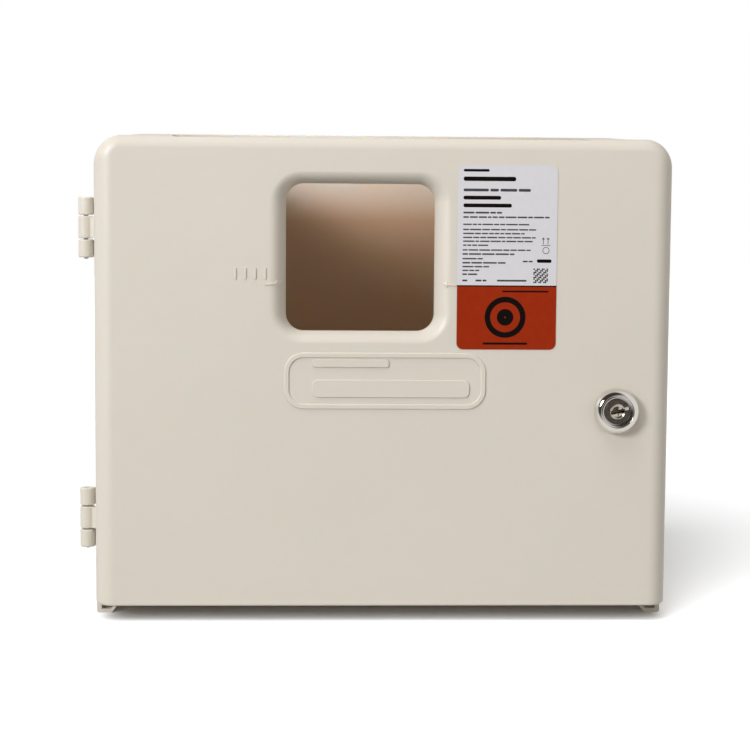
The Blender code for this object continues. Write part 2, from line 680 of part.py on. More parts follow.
def ring_prism(name, outline, hole_radius, front, thickness):
    """A flat piece with the lock's barrel, or a screw, through it."""
    piece = prism_y(name, [(LOCK_X + u, LOCK_Z + v) for u, v in outline], front, front + thickness)
    hole = circle(LOCK_X, LOCK_Z, hole_radius, ROUND)
    cut(piece, prism_y("hole", hole, front - OVERLAP, front + thickness + OVERLAP))
    return piece


def square_hole(piece, front, back):
    half = TAIL_HALF + GAP
    outline = [(LOCK_X + u, LOCK_Z + v) for u, v in box_outline(-half, half, -half, half)]
    cut(piece, prism_y("square_hole", outline, front - OVERLAP, back + OVERLAP))


def make_lock_nut():
    front = PAD_END + GAP + WASHER_THICKNESS + GAP
    across_corners = NUT_FLATS / math.sqrt(3)
    hexagon = circle(0.0, 0.0, across_corners, 6)
    return ring_prism("lock_nut", hexagon, BARREL_RADIUS + GAP, front, NUT_THICKNESS)


def make_lock_washer():
    outline = circle(0.0, 0.0, NUT_FLATS / 2 + WASHER_MARGIN, ROUND)
    return ring_prism("lock_washer", outline, BARREL_RADIUS + GAP, PAD_END + GAP, WASHER_THICKNESS)


def make_stop_washer():
    """A washer on the square tail, with a tab that runs in the barrel's quarter notch."""
    front = BARREL_END + GAP
    washer = prism_y("stop_washer", circle(LOCK_X, LOCK_Z, STOP_RADIUS, ROUND), front, front + STOP_THICKNESS)
    tab_angle = math.degrees(STOP_TAB_HALF_ANGLE)
    tab = arc(0.0, 0.0, STOP_RADIUS - STOP_TAB_INSET, -tab_angle, tab_angle, 3)
    tab += arc(0.0, 0.0, STOP_TAB_INNER, tab_angle, -tab_angle, 3)
    outline = [(LOCK_X + u, LOCK_Z + v) for u, v in tab]
    join(washer, prism_y("tab", outline, BARREL_END - STOP_TAB_DEPTH, front + STOP_THICKNESS / 2))
    square_hole(washer, front, front + STOP_THICKNESS)
    return washer


def make_cam():
    """The cam points up when unlocked and to the right when locked."""
    tip_x, tip_z = CAM_TIP_HALF - CAM_TIP_RADIUS, CAM_REACH - CAM_TIP_RADIUS
    outline = arc(0.0, 0.0, CAM_ROUND, 180, 360, ROUND // 2)
    outline += arc(tip_x, tip_z, CAM_TIP_RADIUS, 0, 90, 4) + arc(-tip_x, tip_z, CAM_TIP_RADIUS, 90, 180, 4)
    cam = prism_y("lock_cam", [(LOCK_X + u, LOCK_Z + v) for u, v in outline],
                  CAM_START, CAM_START + CAM_THICKNESS)
    square_hole(cam, CAM_START, CAM_START + CAM_THICKNESS)
    return cam


def make_cam_washer():
    outline = circle(0.0, 0.0, CAM_WASHER_RADIUS, ROUND)
    return ring_prism("cam_washer", outline, SCREW_RADIUS + GAP, CAM_START + CAM_THICKNESS + GAP,
                      WASHER_THICKNESS)


def make_cam_screw():
    head = CAM_START + CAM_THICKNESS + GAP + WASHER_THICKNESS + GAP
    screw = turned_y("cam_screw", [
        (SCREW_RADIUS * SCREW_POINT, TAIL_END - SCREW_DEPTH + GAP),
        (SCREW_RADIUS, TAIL_END - SCREW_DEPTH + 3 * GAP),
        (SCREW_RADIUS, head),
        (SCREW_HEAD_RADIUS, head),
        (SCREW_HEAD_RADIUS, head + SCREW_HEAD * SCREW_SHOULDER),
        (SCREW_HEAD_RADIUS * SCREW_CROWN, head + SCREW_HEAD),
    ], sides=SMALL_ROUND)
    reach = SCREW_HEAD_RADIUS - OVERLAP
    for u, v in ((reach, SCREW_SLOT), (SCREW_SLOT, reach)):
        slot = [(LOCK_X + x, LOCK_Z + z) for x, z in box_outline(-u, u, -v, v)]
        cut(screw, prism_y("cross_slot", slot, head + SCREW_HEAD / 3, head + SCREW_HEAD + OVERLAP))
    return screw


# ---------------------------------------------------------------- assembly

def clear_scene():
    for old in list(bpy.data.objects):
        bpy.data.objects.remove(old)


def build():
    clear_scene()
    beige = material("beige_plastic", (0.69, 0.63, 0.55), 0.45)
    chrome = material("chrome", (0.80, 0.78, 0.75), 0.12, 1.0)
    steel = material("zinc_steel", (0.55, 0.55, 0.56), 0.35, 1.0)
    nickel = material("nickel", (0.72, 0.70, 0.66), 0.2, 1.0)
    brass = material("brass", (0.70, 0.55, 0.28), 0.35, 1.0)
    dark = material("dark_face", (0.10, 0.085, 0.07), 0.4, 0.6)
    paper = material("label_paper", (0.80, 0.80, 0.84), 0.4)

    cabinet = empty("cabinet_frame", None, (0.0, 0.0, 0.0))
    hinge = empty("door_hinge_axis", cabinet, (HINGE_X, HINGE_Y, 0.0))
    lock = empty("lock_axis", hinge, (LOCK_X, 0.0, LOCK_Z))

    place(make_housing(), cabinet, beige)
    for name, middle in HINGES:
        place(make_pin(name + "_hinge_pin", middle), cabinet, steel)
    place(make_door(), hinge, beige)
    place(make_label(), hinge, paper)
    place(make_lock_housing(), hinge, chrome)
    place(make_lock_washer(), hinge, steel)
    place(make_lock_nut(), hinge, steel)
    place(make_face_disc(), lock, dark)
    place(make_plug(), lock, nickel)
    for index in range(WAFERS):
        place(make_wafer(index), lock, brass)
        place(make_wafer_spring(index), lock, steel)
    place(make_stop_washer(), lock, steel)
    place(make_cam(), lock, steel)
    place(make_cam_washer(), lock, steel)
    place(make_cam_screw(), lock, steel)


build()
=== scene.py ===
"""The looks of the sharps container wall cabinet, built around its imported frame."""

import json
import math
import random

import bmesh
import bpy
from mathutils import Matrix, Vector


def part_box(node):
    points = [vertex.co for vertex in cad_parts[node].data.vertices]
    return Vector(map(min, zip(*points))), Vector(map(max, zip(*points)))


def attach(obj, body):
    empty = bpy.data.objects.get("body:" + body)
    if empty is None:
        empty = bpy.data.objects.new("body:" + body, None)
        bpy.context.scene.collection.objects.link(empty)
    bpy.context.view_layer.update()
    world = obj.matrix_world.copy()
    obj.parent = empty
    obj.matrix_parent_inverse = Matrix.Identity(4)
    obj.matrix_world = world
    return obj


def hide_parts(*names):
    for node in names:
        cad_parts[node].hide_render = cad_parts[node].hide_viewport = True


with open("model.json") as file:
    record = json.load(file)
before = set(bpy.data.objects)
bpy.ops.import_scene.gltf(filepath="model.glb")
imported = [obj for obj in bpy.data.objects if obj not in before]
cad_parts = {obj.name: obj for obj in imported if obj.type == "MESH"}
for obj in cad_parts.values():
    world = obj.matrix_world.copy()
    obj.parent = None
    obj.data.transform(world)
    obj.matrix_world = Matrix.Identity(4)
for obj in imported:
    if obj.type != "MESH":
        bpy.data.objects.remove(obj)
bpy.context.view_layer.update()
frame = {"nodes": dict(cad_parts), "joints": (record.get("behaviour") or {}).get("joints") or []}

MM = 0.001
JOINTS = {joint["name"]: Vector(joint["pos_m"]) for joint in frame["joints"]}
HINGE = JOINTS["door_hinge"]
LOCK = JOINTS["lock_turn"]
FRONT = LOCK.y                                   # the door's front face

HOUSING_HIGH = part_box("rear_housing")[1]
LABEL_LOW, LABEL_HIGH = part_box("front_label")
HEAD_LOW, HEAD_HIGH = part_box("lock_housing")
PLUG_LOW, PLUG_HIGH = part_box("lock_plug")
DISC_LOW, DISC_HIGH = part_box("lock_face_disc")
CAM_LOW, CAM_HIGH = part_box("lock_cam")
STOP_LOW, STOP_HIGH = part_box("stop_washer")
NUT_LOW, NUT_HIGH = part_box("lock_nut")
LOCK_WASHER_LOW, LOCK_WASHER_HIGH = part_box("lock_washer")
CAM_WASHER_LOW, CAM_WASHER_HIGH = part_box("cam_washer")
SCREW_LOW, SCREW_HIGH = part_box("cam_screw")

# The same driving dimensions as the solids
WALL = 2.5 * MM
HALF_WIDTH = 148.7 * MM
MID_X = HOUSING_HIGH.x - HALF_WIDTH
BACK = HOUSING_HIGH.y
CORNER_RADIUS = 14.5 * MM
FRONT_HEIGHT = 248.75 * MM
REAR_HEIGHT = HOUSING_HIGH.z
PARTING = FRONT + 28.0 * MM
HOUSING_FRONT = PARTING + 0.5 * MM
DOOR_HALF = 147.4 * MM
DOOR_BOTTOM = 9.4 * MM
DOOR_TOP = 248.15 * MM
DOOR_DRAFT = 0.6 * MM
SIDE_FILLET = 10.0 * MM
TOP_FILLET = 6.5 * MM
BOTTOM_FILLET = 1.0 * MM
BOTTOM_CORNER = 1.8 * MM
OPENING_FRONT = FRONT + 3.6 * MM
OPENING_FRONT_HALF = 107.3 * MM
OPENING_BACK_HALF = 116.0 * MM
OPENING_CORNER = 3.0 * MM
FOOT_FLANGE = 7.9 * MM
FOOT_THICKNESS = 1.9 * MM
FOOT_LIP_HEIGHT = 3.1 * MM
FOOT_LIP_LEAN = 2.3 * MM
FOOT_LIP_THICKNESS = 1.5 * MM
FOOT_RADIUS = 1.0 * MM
FIXING_HALF_SPACING = 88.9 * MM
KEYHOLE_Z = 214.0 * MM
KEYHOLE_ROUND = 4.5 * MM
KEYHOLE_SLOT = 2.4 * MM
KEYHOLE_RISE = 10.0 * MM
LOWER_FIXING_Z = 46.0 * MM
LOWER_FIXING_RADIUS = 2.6 * MM
WINDOW_X = MID_X - 12.05 * MM
WINDOW_Z = 187.45 * MM
WINDOW_HALF_WIDTH = 37.8 * MM
WINDOW_HALF_HEIGHT = 37.35 * MM
WINDOW_RADIUS = 9.0 * MM
DISH_SIDE = 8.3 * MM
DISH_TOP = 6.2 * MM
DISH_DEPTH = 8.0 * MM
DISH_ROLL = math.radians(58)
COLLAR_TAPER = 0.45
BADGE_X = MID_X + 0.65 * MM
BADGE_Z = 125.1 * MM
BADGE_HALF_WIDTH = 51.3 * MM
BADGE_HALF_HEIGHT = 14.4 * MM
BADGE_RADIUS = 10.0 * MM
BADGE_LINE = 2.7 * MM
BADGE_RELIEF = 0.7 * MM
BAR_SLOPE = 0.22 * MM
FRAME_SLOPE = 0.45 * MM
BADGE_BARS = (                                   # left, right, bottom, top
    (-36.4 * MM, 2.6 * MM, 132.0 * MM, 136.0 * MM),
    (-36.4 * MM, 43.6 * MM, 116.7 * MM, 125.7 * MM),
)
LEVEL_Z = 173.7 * MM
ARROW_START = 60.3 * MM
ARROW_STEPS = 14
ARROW_RELIEF = 0.6 * MM
ARROW_FLARE = 0.28 * MM
ARROW_RISE = 0.05 * MM
TICKS_START = 75.8 * MM
TICK_SPACING = 5.0 * MM
TICK_WIDTH = 1.15 * MM
TICK_BOTTOM = 176.4 * MM
TICK_TOP = 182.1 * MM
TICK_RADIUS = 0.5 * MM
TICK_SLOPE = 0.15 * MM
HINGE_MIDDLES = (201.8 * MM, 50.9 * MM)
KNUCKLE_RADIUS = 3.9 * MM
KNUCKLE_BORE = 1.5 * MM
OUTER_KNUCKLE = 9.2 * MM
MIDDLE_KNUCKLE = 11.5 * MM
KNUCKLE_GAP = 0.6 * MM
KNUCKLE_EDGE = 0.7 * MM
LEAF_ANGLE = math.radians(53)
LEAF_REACH = 6.5 * MM
LEAF_FLARE = 1.0 * MM
LEAF_SETBACK = 1.2 * MM
STRIKE_LEFT = 135.5 * MM
STRIKE_HALF_HEIGHT = 15.0 * MM
STRIKE_THICKNESS = 2.4 * MM
BARREL_RADIUS = 9.25 * MM
BARREL_FLAT = 8.0 * MM
PAD_RADIUS = 15.0 * MM
PAD_END = FRONT + 4.5 * MM
GAP = 0.3 * MM
OVERLAP = 1.0 * MM

CORNER_STEPS = 16
FILLET_STEPS = 16
DISH_STEPS = 16
TURNED = 96
EDGE_ROUND = 0.35 * MM
SMOOTH_ANGLE = math.radians(40)


# ---- outlines and solids

def arc(cx, cy, radius, start, end, steps):
    """Points on an arc from start to end degrees, both included."""
    angles = [math.radians(start + (end - start) * i / steps) for i in range(steps + 1)]
    return [(cx + radius * math.cos(a), cy + radius * math.sin(a)) for a in angles]


def rounded_rectangle(left, right, bottom, top, lower_radius, upper_radius, steps=CORNER_STEPS):
    """Anticlockwise outline that starts at the lower right corner."""
    return (
        arc(right - lower_radius, bottom + lower_radius, lower_radius, -90, 0, steps)
        + arc(right - upper_radius, top - upper_radius, upper_radius, 0, 90, steps)
        + arc(left + upper_radius, top - upper_radius, upper_radius, 90, 180, steps)
        + arc(left + lower_radius, bottom + lower_radius, lower_radius, 180, 270, steps)
    )


def circle(cx, cy, radius, sides=TURNED):
    return arc(cx, cy, radius, 0, 360 * (sides - 1) / sides, sides - 1)


def swept(count, first=0, turn=math.pi / 2):
    """Angles that divide a turn evenly, in radians."""
    return [turn * i / count for i in range(first, count + 1)]


def about_lock(points):
    """An outline measured from the lock's axis, in world x and z."""
    return [(LOCK.x + u, LOCK.z + v) for u, v in points]


def fillet_inset(depth, radius):
    """How far a quarter-round edge lies inside its outline at a depth behind the front."""
    if depth >= radius:
        return 0.0
    return radius - math.sqrt(radius ** 2 - (radius - depth) ** 2)


def mesh_object(name, bm):
    """Turn a filled BMesh into a piece in the scene, with its faces turned outwards."""
    bmesh.ops.recalc_face_normals(bm, faces=bm.faces)
    mesh = bpy.data.meshes.new(name)
    bm.to_mesh(mesh)
    bm.free()
    piece = bpy.data.objects.new(name, mesh)
    bpy.context.scene.collection.objects.link(piece)
    return piece


def loft(name, rings, closed=False):
    """A solid through rings of equally many points, capped at both ends unless closed."""
    bm = bmesh.new()
    loops = [[bm.verts.new(point) for point in ring] for ring in rings]
    pairs = list(zip(loops, loops[1:]))
    if closed:
        pairs.append((loops[-1], loops[0]))
    else:
        bm.faces.new(loops[0])
        bm.faces.new(loops[-1])
    for near, far in pairs:
        for i in range(len(near)):
            j = (i + 1) % len(near)
            bm.faces.new((near[i], near[j], far[j], far[i]))
    return mesh_object(name, bm)


def at_depth(outline, y):
    """An outline of (x, z) points, placed at a depth."""
    return [(x, y, z) for x, z in outline]


def prism_y(name, outline, front, back):
    """An outline of (x, z) points, extruded from front to back."""
    return loft(name, [at_depth(outline, y) for y in (front, back)])


def prism_z(name, outline, bottom, top):
    """An outline of (x, y) points, extruded upwards."""
    return loft(name, [[(x, y, z) for x, y in outline] for z in (bottom, top)])


def turned_lock(name, profile, hollow=False, sides=TURNED):
    """A profile of (radius, y) points, turned about the lock's axis."""
    rings = [at_depth(circle(LOCK.x, LOCK.z, radius, sides), y) for radius, y in profile]
    return loft(name, rings, closed=hollow)


def turned_hinge(name, profile, sides=48):
    """A profile of (radius, z) points, turned about the hinge axis."""
    return loft(name, [[(x, y, z) for x, y in circle(HINGE.x, HINGE.y, radius, sides)]
                       for radius, z in profile])


def freeze(piece):
    """Apply a piece's modifiers to its mesh."""
    graph = bpy.context.evaluated_depsgraph_get()
    graph.update()
    old = piece.data
    mesh = bpy.data.meshes.new_from_object(piece.evaluated_get(graph))
    piece.modifiers.clear()
    piece.data = mesh
    bpy.data.meshes.remove(old)


def combine(target, tool, operation):
    """Join target with tool, or cut it; tool is used up."""
    modifier = target.modifiers.new(operation, "BOOLEAN")
    modifier.operation = operation
    modifier.solver = "EXACT"
    modifier.object = tool
    freeze(target)
    bpy.data.objects.remove(tool)


def cut(target, tool):
    combine(target, tool, "DIFFERENCE")


def join(target, tool):
    combine(target, tool, "UNION")


def round_edges(piece, width=EDGE_ROUND, segments=2, angle=SMOOTH_ANGLE):
    """Round a piece's hard edges by a small radius, as a mould does."""
    bevel = piece.modifiers.new("edges", "BEVEL")
    bevel.width = width
    bevel.segments = segments
    bevel.limit_method = "ANGLE"
    bevel.angle_limit = angle
    bevel.use_clamp_overlap = True
    bevel.miter_outer = "MITER_ARC"
    freeze(piece)


def finish_piece(piece, body, finish, replaced=(), angle=SMOOTH_ANGLE):
    """Shade a piece, give it its material and hang it on its body."""
    mesh = piece.data
    mesh.materials.clear()
    mesh.materials.append(finish)
    mesh.shade_smooth()
    mesh.set_sharp_from_angle(angle=angle)
    weighted = piece.modifiers.new("normals", "WEIGHTED_NORMAL")
    weighted.keep_sharp = True
    weighted.weight = 100
    mesh.name = piece.name
    if replaced:
        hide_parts(*replaced)
    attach(piece, body)
    return piece


# ---- materials

# Heights over which the inside's painted shade fades out towards the lit top of the room.
PAINTED_SHADE_FADE_LOW = 206 * MM
PAINTED_SHADE_FADE_HIGH = 246 * MM
SATIN_SPECULAR = 0.5
PRINT_SPECULAR = 0.1


def set_inputs(tree, node, **inputs):
    """Link a node's inputs from sockets, or set them to plain values."""
    for name, value in inputs.items():
        socket = node.inputs[name.replace("_", " ")]
        if isinstance(value, bpy.types.NodeSocket):
            tree.links.new(value, socket)
        else:
            socket.default_value = value


def add_node(tree, kind, **inputs):
    node = tree.nodes.new("ShaderNode" + kind)
    set_inputs(tree, node, **inputs)
    return node


def shader_material(name):
    made = bpy.data.materials.new(name)
    made.use_nodes = True
    return made, made.node_tree, made.node_tree.nodes["Principled BSDF"]


def noise(tree, scale, detail, where):
    return add_node(tree, "TexNoise", Scale=scale, Detail=detail, Roughness=0.55, Vector=where).outputs["Fac"]


def object_coordinates(tree):
    return add_node(tree, "TexCoord").outputs["Object"]


def spread(tree, fac, low, high):
    """Spread the middle of a noise over the values from low to high."""
    return add_node(tree, "MapRange", From_Min=0.3, From_Max=0.7, To_Min=low, To_Max=high,
                    Value=fac).outputs["Result"]


def blended(tree, fac, low, high, colours):
    """Run from the first colour, where fac is low, to the second, where it is high."""
    made = add_node(tree, "ValToRGB", Fac=fac)
    for stop, place, colour in zip(made.color_ramp.elements, (low, high), colours):
        stop.position = place
        stop.color = (*colour, 1.0)
    return made.outputs["Color"]


def bump(tree, height, strength, distance, **below):
    return add_node(tree, "Bump", Strength=strength, Distance=distance, Height=height,
                    **below).outputs["Normal"]


def textured(name, colours, colour_grain, span, roughness, rough_grain):
    """A material whose colour and polish each wander between two values."""
    made, tree, shader = shader_material(name)
    where = object_coordinates(tree)
    set_inputs(tree, shader, Base_Color=blended(tree, noise(tree, *colour_grain, where), *span, colours),
               Roughness=spread(tree, noise(tree, *rough_grain, where), *roughness))
    return made, tree, shader, where


def moulded_plastic(name, light, dark, scatter, depth, mouth=None):
    """Satin plastic with light under its skin. When mouth is given, the colour fades to it near the top: this
    ends the painted shade of the inside, as the top of the room is lit.
    """
    made, tree, shader, where = textured(name, (dark, light), (9.0, 3.0), (0.35, 0.68),
                                         (0.36, 0.46), (60.0, 5.0))
    # Painted shade ends here: the darker inside colour turns back to the plastic's own colour near the lit
    # top.
    if mouth is not None:
        height = add_node(tree, "SeparateXYZ", Vector=where).outputs["Z"]
        rise = add_node(tree, "MapRange", From_Min=PAINTED_SHADE_FADE_LOW, From_Max=PAINTED_SHADE_FADE_HIGH, Value=height)
        blend = tree.nodes.new("ShaderNodeMix")
        blend.data_type = "RGBA"
        set_inputs(tree, blend, Factor=rise.outputs["Result"], B=(*mouth, 1.0),
                   A=shader.inputs["Base Color"].links[0].from_socket)
        set_inputs(tree, shader, Base_Color=blend.outputs["Result"])
    broad = bump(tree, noise(tree, 14.0, 2.0, where), 0.05, 2.0 * MM)
    fine = bump(tree, noise(tree, 1900.0, 2.0, where), 0.10, 0.05 * MM, Normal=broad)
    set_inputs(tree, shader, Normal=fine, Specular_IOR_Level=SATIN_SPECULAR, Subsurface_Weight=scatter,
               Subsurface_Radius=depth, Subsurface_Scale=1.0)
    return made


def metal(name, light, dark, rough_low, rough_high, scratch_scale=400.0, scratch=0.02):
    """Metal with uneven polish and faint scratches."""
    made, tree, shader, where = textured(name, (dark, light), (120.0, 4.0), (0.3, 0.7),
                                         (rough_low, rough_high), (scratch_scale, 6.0))
    stretched = add_node(tree, "Mapping", Scale=(1.0, 0.12, 0.35), Vector=where).outputs["Vector"]
    fine = noise(tree, scratch_scale * 6, 3.0, stretched)
    set_inputs(tree, shader, Normal=bump(tree, fine, scratch, 0.02 * MM), Metallic=1.0)
    return made


def dark_disc_material():
    """Dark oxidised metal with a fine grain."""
    colours = ((0.045, 0.036, 0.028), (0.105, 0.088, 0.070))
    made, tree, shader, where = textured("dark_face", colours, (700.0, 5.0), (0.3, 0.75),
                                         (0.32, 0.55), (300.0, 4.0))
    grain = bump(tree, noise(tree, 3000.0, 3.0, where), 0.25, 0.03 * MM)
    set_inputs(tree, shader, Normal=grain, Metallic=0.55)
    return made


def printed(name, light, dark, rough_low=0.34, rough_high=0.44):
    """Printed vinyl: even ink with a slight mottle and a faint paper tooth."""
    made, tree, shader, where = textured(name, (dark, light), (240.0, 4.0), (0.3, 0.7),
                                         (rough_low, rough_high), (500.0, 3.0))
    set_inputs(tree, shader, Normal=bump(tree, noise(tree, 1500.0, 2.0, where), 0.05, 0.02 * MM),
               Specular_IOR_Level=PRINT_SPECULAR)
    return made


# ---- door

def door_ring(y, wall=0.0):
    """The door's outline at a depth, or its inside when a wall is given."""
    depth = y - FRONT - wall
    inset_side = fillet_inset(depth, max(SIDE_FILLET - wall, 0.0))
    inset_top = fillet_inset(depth, max(TOP_FILLET - wall, BOTTOM_FILLET))
    inset_bottom = fillet_inset(depth, BOTTOM_FILLET)
    rim = PARTING - FRONT
    draft = DOOR_DRAFT * (rim - max(y - FRONT, SIDE_FILLET)) / (rim - SIDE_FILLET)
    half = DOOR_HALF - draft - wall - inset_side
    upper = max(CORNER_RADIUS - wall - inset_side, 2 * BOTTOM_FILLET)
    outline = rounded_rectangle(MID_X - half, MID_X + half, DOOR_BOTTOM + wall + inset_bottom,
                                DOOR_TOP + DOOR_DRAFT - draft - wall - inset_top, BOTTOM_CORNER, upper)
    return at_depth(outline, y)


def fillet_depths(start, radius, small, steps=FILLET_STEPS):
    """Depths that follow a large fillet evenly and start with the small one."""
    large = [radius * (1 - math.cos(math.pi / 2 * i / steps)) for i in range(steps + 1)]
    fine = [small * (1 - math.cos(math.pi / 2 * i / 4)) for i in range(5)]
    depths = fine + [depth for depth in large if depth > small * 1.2]
    return [start + depth for depth in depths]


def dish_ring(outset, y):
    """The window's outline, widened by a part of the dish."""
    wide = WINDOW_HALF_WIDTH + DISH_SIDE * outset
    high = WINDOW_HALF_HEIGHT + DISH_TOP * outset
    radius = WINDOW_RADIUS + (DISH_SIDE + DISH_TOP) / 2 * outset
    outline = rounded_rectangle(WINDOW_X - wide, WINDOW_X + wide, WINDOW_Z - high, WINDOW_Z + high,
                                radius, radius)
    return at_depth(outline, y)


def cut_window(door):
    """A collar behind the window, and the opening with its rolled-in edge."""
    collar_back = FRONT + DISH_DEPTH + WALL
    join(door, loft("collar", [dish_ring(1.0, FRONT + WALL / 2), dish_ring(COLLAR_TAPER, collar_back)]))
    roll = [DISH_ROLL * i / DISH_STEPS for i in range(DISH_STEPS + 1)]
    rings = [dish_ring(1.0, FRONT - OVERLAP)]
    rings += [dish_ring(1 - math.sin(a) / math.sin(DISH_ROLL),
                        FRONT + DISH_DEPTH * (1 - math.cos(a)) / (1 - math.cos(DISH_ROLL))) for a in roll]
    rings.append(dish_ring(0.0, collar_back + OVERLAP))
    cut(door, loft("window", rings))


def relief_profile(relief, slope):
    """(inset, y) points from inside the door, up a raised edge and onto its top."""
    return [(0.0, FRONT + OVERLAP), (0.0, FRONT - 0.02 * MM), (slope * 0.45, FRONT - relief * 0.62),
            (slope * 0.75, FRONT - relief * 0.92), (slope, FRONT - relief)]


def raised_bar(name, left, right, bottom, top, radius, relief=BADGE_RELIEF, slope=BAR_SLOPE):
    """A plain raised bar with soft edges."""
    rings = []
    for inset, y in relief_profile(relief, slope):
        outline = rounded_rectangle(left + inset, right - inset, bottom + inset, top - inset,
                                    radius - inset, radius - inset, 8)
        rings.append(at_depth(outline, y))
    return loft(name, rings)


def raised_frame():
    """The badge's raised rounded frame, soft on both sides."""
    left, right = BADGE_X - BADGE_HALF_WIDTH, BADGE_X + BADGE_HALF_WIDTH
    bottom, top = BADGE_Z - BADGE_HALF_HEIGHT, BADGE_Z + BADGE_HALF_HEIGHT
    edge = relief_profile(BADGE_RELIEF, FRAME_SLOPE)
    path = edge + [(BADGE_LINE - inset, y) for inset, y in reversed(edge)]
    rings = []
    for inset, y in path:
        radius = BADGE_RADIUS - inset
        outline = rounded_rectangle(left + inset, right - inset, bottom + inset, top - inset, radius, radius)
        rings.append(at_depth(outline, y))
    return loft("badge_frame", rings, closed=True)


def dish_surface(x):
    """The depth of the door's front at x, level with the middle of the window's left side."""
    outset = (WINDOW_X - WINDOW_HALF_WIDTH - x) / DISH_SIDE
    if outset >= 1:
        return FRONT
    rolled = math.asin((1 - outset) * math.sin(DISH_ROLL))
    return FRONT + DISH_DEPTH * (1 - math.cos(rolled)) / (1 - math.cos(DISH_ROLL))


def level_arrow(side):
    """A fine raised arrow that runs down the window's rolled edge, pointing at the opening."""
    length, half, head = (9.2 * MM, 0.42 * MM, 5) if side < 0 else (6.4 * MM, 0.38 * MM, 4)
    proud = sunk = ARROW_RELIEF
    rings = []
    for i in range(ARROW_STEPS + 1):
        left = MID_X - ARROW_START + length * i / ARROW_STEPS
        x = left if side < 0 else 2 * WINDOW_X - left
        surface = dish_surface(left)
        wide = half
        if i >= ARROW_STEPS - head:
            wide += (ARROW_STEPS - i) * ARROW_FLARE
        level = LEVEL_Z + ARROW_RISE * i
        section = [(-wide, sunk), (-wide, -proud * 0.5), (-wide * 0.6, -proud)]
        section += [(-v, y) for v, y in reversed(section)]
        rings.append([(x, surface + y, level + v) for v, y in section])
    return loft("level_arrow", rings)


def add_level_mark(door):
    """A row of four raised ticks beside the window, and an arrow on each side of it."""
    for tick in range(4):
        left = MID_X - TICKS_START + tick * TICK_SPACING
        join(door, raised_bar("level_tick", left, left + TICK_WIDTH, TICK_BOTTOM, TICK_TOP, TICK_RADIUS,
                              ARROW_RELIEF, TICK_SLOPE))
    for side in (-1, 1):
        join(door, level_arrow(side))


def opening_half(y):
    """Half the top opening's width, which grows towards the wall."""
    share = (y - OPENING_FRONT) / (BACK - WALL - OPENING_FRONT)
    return OPENING_FRONT_HALF + (OPENING_BACK_HALF - OPENING_FRONT_HALF) * share


def opening_outline(front, back, corner):
    """The top opening from above, between two depths, with its front corners rounded."""
    right = [(opening_half(back), back), (opening_half(front + corner), front + corner)]
    right += arc(opening_half(front) - corner, front + corner, corner, 0, -90, 12)
    return [(MID_X + x, y) for x, y in right] + [(MID_X - x, y) for x, y in reversed(right)]


def middle_leaf(bottom, top):
    """The web from the middle knuckle to the door's side, hollow in front and flared in height."""
    start = HINGE.x + KNUCKLE_RADIUS * math.cos(LEAF_ANGLE)
    start_y = HINGE.y - KNUCKLE_RADIUS * math.sin(LEAF_ANGLE)
    clear = HINGE.x + KNUCKLE_RADIUS + GAP
    side, inside = MID_X - DOOR_HALF, MID_X - DOOR_HALF + WALL / 2
    steps = 16
    rings = []
    for x in [HINGE.x] + [start + (side - start) * i / steps for i in range(steps + 1)] + [inside]:
        along = min(max((x - start) / (side - start), 0.0), 1.0)
        flare = LEAF_FLARE * min(max((x - clear) / (side - clear), 0.0), 1.0) ** 2
        front = start_y + (PARTING - LEAF_REACH - start_y) * (1 - math.sqrt(1 - along ** 2))
        low, high = bottom - flare, top + flare
        section = ((front, low), (PARTING, low), (PARTING, high), (front, high))
        rings.append([(x, y, z) for y, z in section])
    return loft("middle_leaf", rings)


def knuckle(name, bottom, height):
    """A hinge knuckle with rounded rims."""
    corner = [(KNUCKLE_EDGE * (1 - math.sin(a)), KNUCKLE_EDGE * (1 - math.cos(a)))
              for a in swept(5)]
    lower = [(KNUCKLE_RADIUS - inset, bottom + rise) for inset, rise in corner]
    upper = [(KNUCKLE_RADIUS - inset, bottom + height - rise) for inset, rise in reversed(corner)]
    return turned_hinge(name, lower + upper)


def make_door():
    depths = fillet_depths(FRONT, SIDE_FILLET, BOTTOM_FILLET)
    rings = [door_ring(y) for y in depths] + [door_ring(PARTING)]
    inner = fillet_depths(FRONT + WALL, SIDE_FILLET - WALL, BOTTOM_FILLET, 6)
    rings += [door_ring(PARTING, WALL)] + [door_ring(y, WALL) for y in reversed(inner)]
    door = loft("door", rings)
    opening = opening_outline(OPENING_FRONT, PARTING + OVERLAP, OPENING_CORNER)
    cut(door, prism_z("top_opening", opening, DOOR_TOP - CORNER_RADIUS / 2, REAR_HEIGHT))
    cut_window(door)
    join(door, prism_y("lock_pad", circle(LOCK.x, LOCK.z, PAD_RADIUS, 64), FRONT + WALL / 2, PAD_END))
    hole = [(x, LOCK.z + max(-BARREL_FLAT - GAP, min(BARREL_FLAT + GAP, z - LOCK.z)))
            for x, z in circle(LOCK.x, LOCK.z, BARREL_RADIUS + GAP, 64)]
    cut(door, prism_y("lock_hole", hole, FRONT - OVERLAP, PAD_END + OVERLAP))
    round_edges(door)
    join(door, raised_frame())
    for left, right, bottom, top in BADGE_BARS:
        join(door, raised_bar("badge_bar", MID_X + left, MID_X + right, bottom, top, (top - bottom) / 3))
    add_level_mark(door)
    for middle in HINGE_MIDDLES:
        bottom = middle - MIDDLE_KNUCKLE / 2
        joined = knuckle("middle_knuckle", bottom, MIDDLE_KNUCKLE)
        edge = KNUCKLE_EDGE / 2
        join(joined, middle_leaf(bottom + edge, bottom + MIDDLE_KNUCKLE - edge))
        join(door, joined)
        cut(door, turned_hinge("bore", [(KNUCKLE_BORE, bottom - OVERLAP),
                                        (KNUCKLE_BORE, bottom + MIDDLE_KNUCKLE + OVERLAP)]))
    return door


# ---- housing

def top_height(y):
    """The housing's height at a depth."""
    return FRONT_HEIGHT + (REAR_HEIGHT - FRONT_HEIGHT) * (y - HOUSING_FRONT) / (BACK - HOUSING_FRONT)


